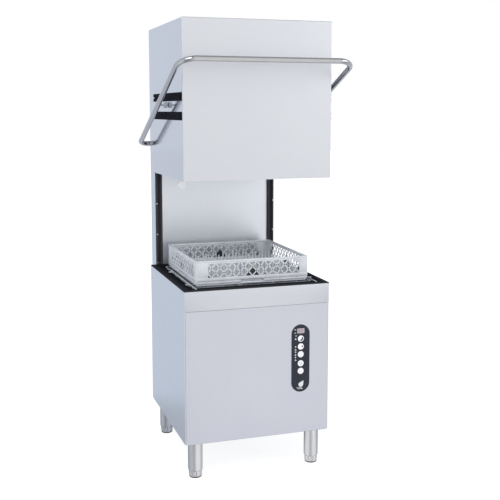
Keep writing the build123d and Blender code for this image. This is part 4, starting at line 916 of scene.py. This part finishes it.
FINISHES = {
    "hood": ("hood_shell",),
    "panel_side": ("side_panels", "rear_panel", "column_cover"),
    "chamber": ("chamber_rear_wall",),
    "inner": ("wash_tank", "filter_trays", "sump_strainer", "boiler_tank", "upper_wash_arm",
              "upper_rinse_arm", "lower_wash_arm", "lower_rinse_arm"),
    "tube": ("handle_tube", "cross_shaft", "wash_riser"),
    "leg": ("leg_sleeves",),
    "wire": ("rack_guide_frame", "balance_springs"),
    "black_rim": ("worktop_surround", "column_rails"),
    "black_plastic": ("hood_tracks", "hood_slide_shoes", "shaft_bushes", "cable_gland", "drain_stub"),
    "overlay": ("control_overlay",),
    "white": BUTTONS + ("inlet_valve",),
    "vent": ("chamber_vent_cap",),
    "roller": ("handle_rollers",),
    "grey_plastic": ("control_board", "lower_manifold", "overflow_pipe", "wash_pump_volute", "dosing_pumps",
                     "electrical_box"),
    "hose": ("internal_hoses",),
    "buffer": ("rail_stop_buffers",),
    "galvanised": ("base_frame", "bottom_pan"),
    "motor": ("wash_pump_motor", "pump_rotor", "rinse_pump"),
    "brass": ("water_inlet",),
    "element": ("tank_heater", "boiler_heater"),
    "screen": ("display_window",),
}


def dress_nodes():
    """Gives each carried-over CAD node its finish."""
    for finish, names in FINISHES.items():
        for name in names:
            for place in NODES[name].material_slots:
                place.material = MATERIALS[finish]


# ---------------------------------------------------------------- stage, light and camera

WHITE = (1.0, 1.0, 1.0)
LEFT_WALL = (0.80, 0.83, 0.88)
DARK_GAP = (0.16, 0.17, 0.2)
CEILING = (0.68, 0.68, 0.70)
UNDER_SIDE, UNDER_FRONT = (0.44, 0.48, 0.54), (0.92, 0.92, 0.94)
FLOOR_RADIUS = 30.0
FLOOR_FADE = (0.3, 0.3, 0.3)


def studio_walls(tree, direction):
    """The studio's brightness round the horizon, from -X by -Y: bright walls with dark gaps between."""
    azimuth = gradient(tree, direction, "RADIAL")
    return colours(tree, azimuth, [
        (0.0, LEFT_WALL), (0.07, (0.88, 0.90, 0.93)), (0.12, (0.30, 0.32, 0.36)),
        (0.18, (0.42, 0.44, 0.48)), (0.235, WHITE), (0.36, WHITE),
        (0.41, (0.30, 0.31, 0.35)), (0.45, (0.62, 0.65, 0.71)), (0.58, LEFT_WALL),
        (0.65, (0.62, 0.65, 0.73)), (0.675, DARK_GAP), (0.71, DARK_GAP),
        (0.74, (0.72, 0.76, 0.84)), (0.86, (0.62, 0.67, 0.77)), (1.0, LEFT_WALL)])


def floor_to_the_eye(tree, place):
    """A lit floor that brightens to white with distance."""
    lit = add(tree, "ShaderNodeBsdfDiffuse", {"Color": (0.42, 0.42, 0.42, 1.0)})
    near = add(tree, "ShaderNodeMapping", {"Vector": place, "Scale": FLOOR_FADE}).outputs[0]
    closeness = gradient(tree, near, "SPHERICAL")
    fade = spread(tree, closeness, 1.0, 0.80, 0.0, 0.6)
    glow = add(tree, "ShaderNodeEmission", {"Color": (*WHITE, 1.0), "Strength": fade})
    return add(tree, "ShaderNodeAddShader", {0: lit.outputs[0], 1: glow.outputs[0]}).outputs[0]


def floor_in_reflections(tree, place):
    """A floor that carries the walls' light, shaded close to the machine, darkest beside it."""
    under = add(tree, "ShaderNodeBsdfDiffuse", {"Color": (0.12, 0.12, 0.12, 1.0)})
    close = gradient(tree, place, "SPHERICAL")
    near_floor = spread(tree, close, 0.0, 1.0, 0.0, 0.25)
    around = gradient(tree, place, "RADIAL")
    under_edge = colours(tree, around, [
        (0.0, UNDER_SIDE), (0.09, (0.50, 0.53, 0.58)), (0.15, UNDER_FRONT),
        (0.36, UNDER_FRONT), (0.48, (0.50, 0.52, 0.56)), (1.0, UNDER_SIDE)])
    bounce = blend_colour(tree, near_floor, studio_walls(tree, place), under_edge)
    lift = add(tree, "ShaderNodeEmission", {"Color": bounce, "Strength": 0.86})
    return add(tree, "ShaderNodeAddShader", {0: under.outputs[0], 1: lift.outputs[0]}).outputs[0]


def seen_or_reflected(tree, output, reflected, seen):
    """Ends a tree with one shader for the camera and another for everything else."""
    straight = add(tree, "ShaderNodeLightPath").outputs["Is Camera Ray"]
    mix = add(tree, "ShaderNodeMixShader", {0: straight, 1: reflected, 2: seen})
    add(tree, output, {"Surface": mix.outputs[0]})


def build_stage():
    """A pale plain floor, white to the eye, that carries the walls' light and shade into reflections."""
    bpy.ops.mesh.primitive_circle_add(vertices=96, radius=FLOOR_RADIUS, fill_type="NGON")
    floor = bpy.context.object
    floor.name = "studio_floor"
    paint = bpy.data.materials.new("studio_floor_paint")
    paint.use_nodes = True
    tree = paint.node_tree
    tree.nodes.clear()
    place = add(tree, "ShaderNodeTexCoord").outputs["Object"]
    reflected, seen = floor_in_reflections(tree, place), floor_to_the_eye(tree, place)
    seen_or_reflected(tree, "ShaderNodeOutputMaterial", reflected, seen)
    floor.data.materials.append(paint)


def build_world():
    """White to the eye, with the studio's walls for steel to reflect and a darker ceiling."""
    world = bpy.data.worlds.new("studio")
    bpy.context.scene.world = world
    world.use_nodes = True
    tree = world.node_tree
    tree.nodes.clear()
    direction = add(tree, "ShaderNodeTexCoord").outputs["Generated"]
    around = studio_walls(tree, direction)
    height = add(tree, "ShaderNodeSeparateXYZ", {"Vector": direction}).outputs["Z"]
    up = colours(tree, height, [(0.0, WHITE), (0.4, WHITE), (0.75, CEILING)])
    walls = blend_colour(tree, 1.0, around, up, "MULTIPLY")
    reflected = add(tree, "ShaderNodeBackground", {"Color": walls, "Strength": 1.0})
    seen = add(tree, "ShaderNodeBackground", {"Color": (*WHITE, 1.0), "Strength": 1.0})
    seen_or_reflected(tree, "ShaderNodeOutputWorld", reflected.outputs[0], seen.outputs[0])


LIGHTS = {
    "key": {"place": (-3.2, -3.6, 4.2), "size": 2.6, "power": 90.0},
    "fill": {"place": (3.6, -2.6, 2.6), "size": 2.4, "power": 35.0},
}
LIGHT_AIM = Vector((0.0, 0.0, 1.0))


def area_light(name, place, size, power):
    """A soft square light aimed at the machine's middle."""
    data = bpy.data.lights.new(name, "AREA")
    data.size = size
    data.energy = power
    lamp = bpy.data.objects.new(name, data)
    lamp.location = place
    lamp.rotation_euler = (LIGHT_AIM - Vector(place)).to_track_quat("-Z", "Y").to_euler()
    bpy.context.scene.collection.objects.link(lamp)


SENSOR_WIDTH = 36.0
LENS = 63.107
LENS_SHIFT = -0.05
EYE = (-1.1474, -3.6819, 1.5391)
TURN_RIGHT, TILT_DOWN = 0.3167, 0.1308


def build_camera():
    """The viewer's place: left of the middle and a little below the hood's top."""
    data = bpy.data.cameras.new("camera")
    data.sensor_width = SENSOR_WIDTH
    data.lens = LENS
    data.shift_y = LENS_SHIFT
    camera = bpy.data.objects.new("camera", data)
    camera.location = EYE
    camera.rotation_euler = (math.pi / 2 - TILT_DOWN, 0.0, -TURN_RIGHT)
    bpy.context.scene.collection.objects.link(camera)
    bpy.context.scene.camera = camera


bpy.context.scene.view_settings.view_transform = "Standard"
build_camera()
dress_nodes()
build_rack()
build_service_panel()
build_fascia()
build_button_marks()
build_overlay_marks()
build_feet()
build_screws()
build_track_screws()
build_rear_details()
build_stage()
build_world()
for light, settings in LIGHTS.items():
    area_light(light, **settings)

bpy.context.view_layer.update()
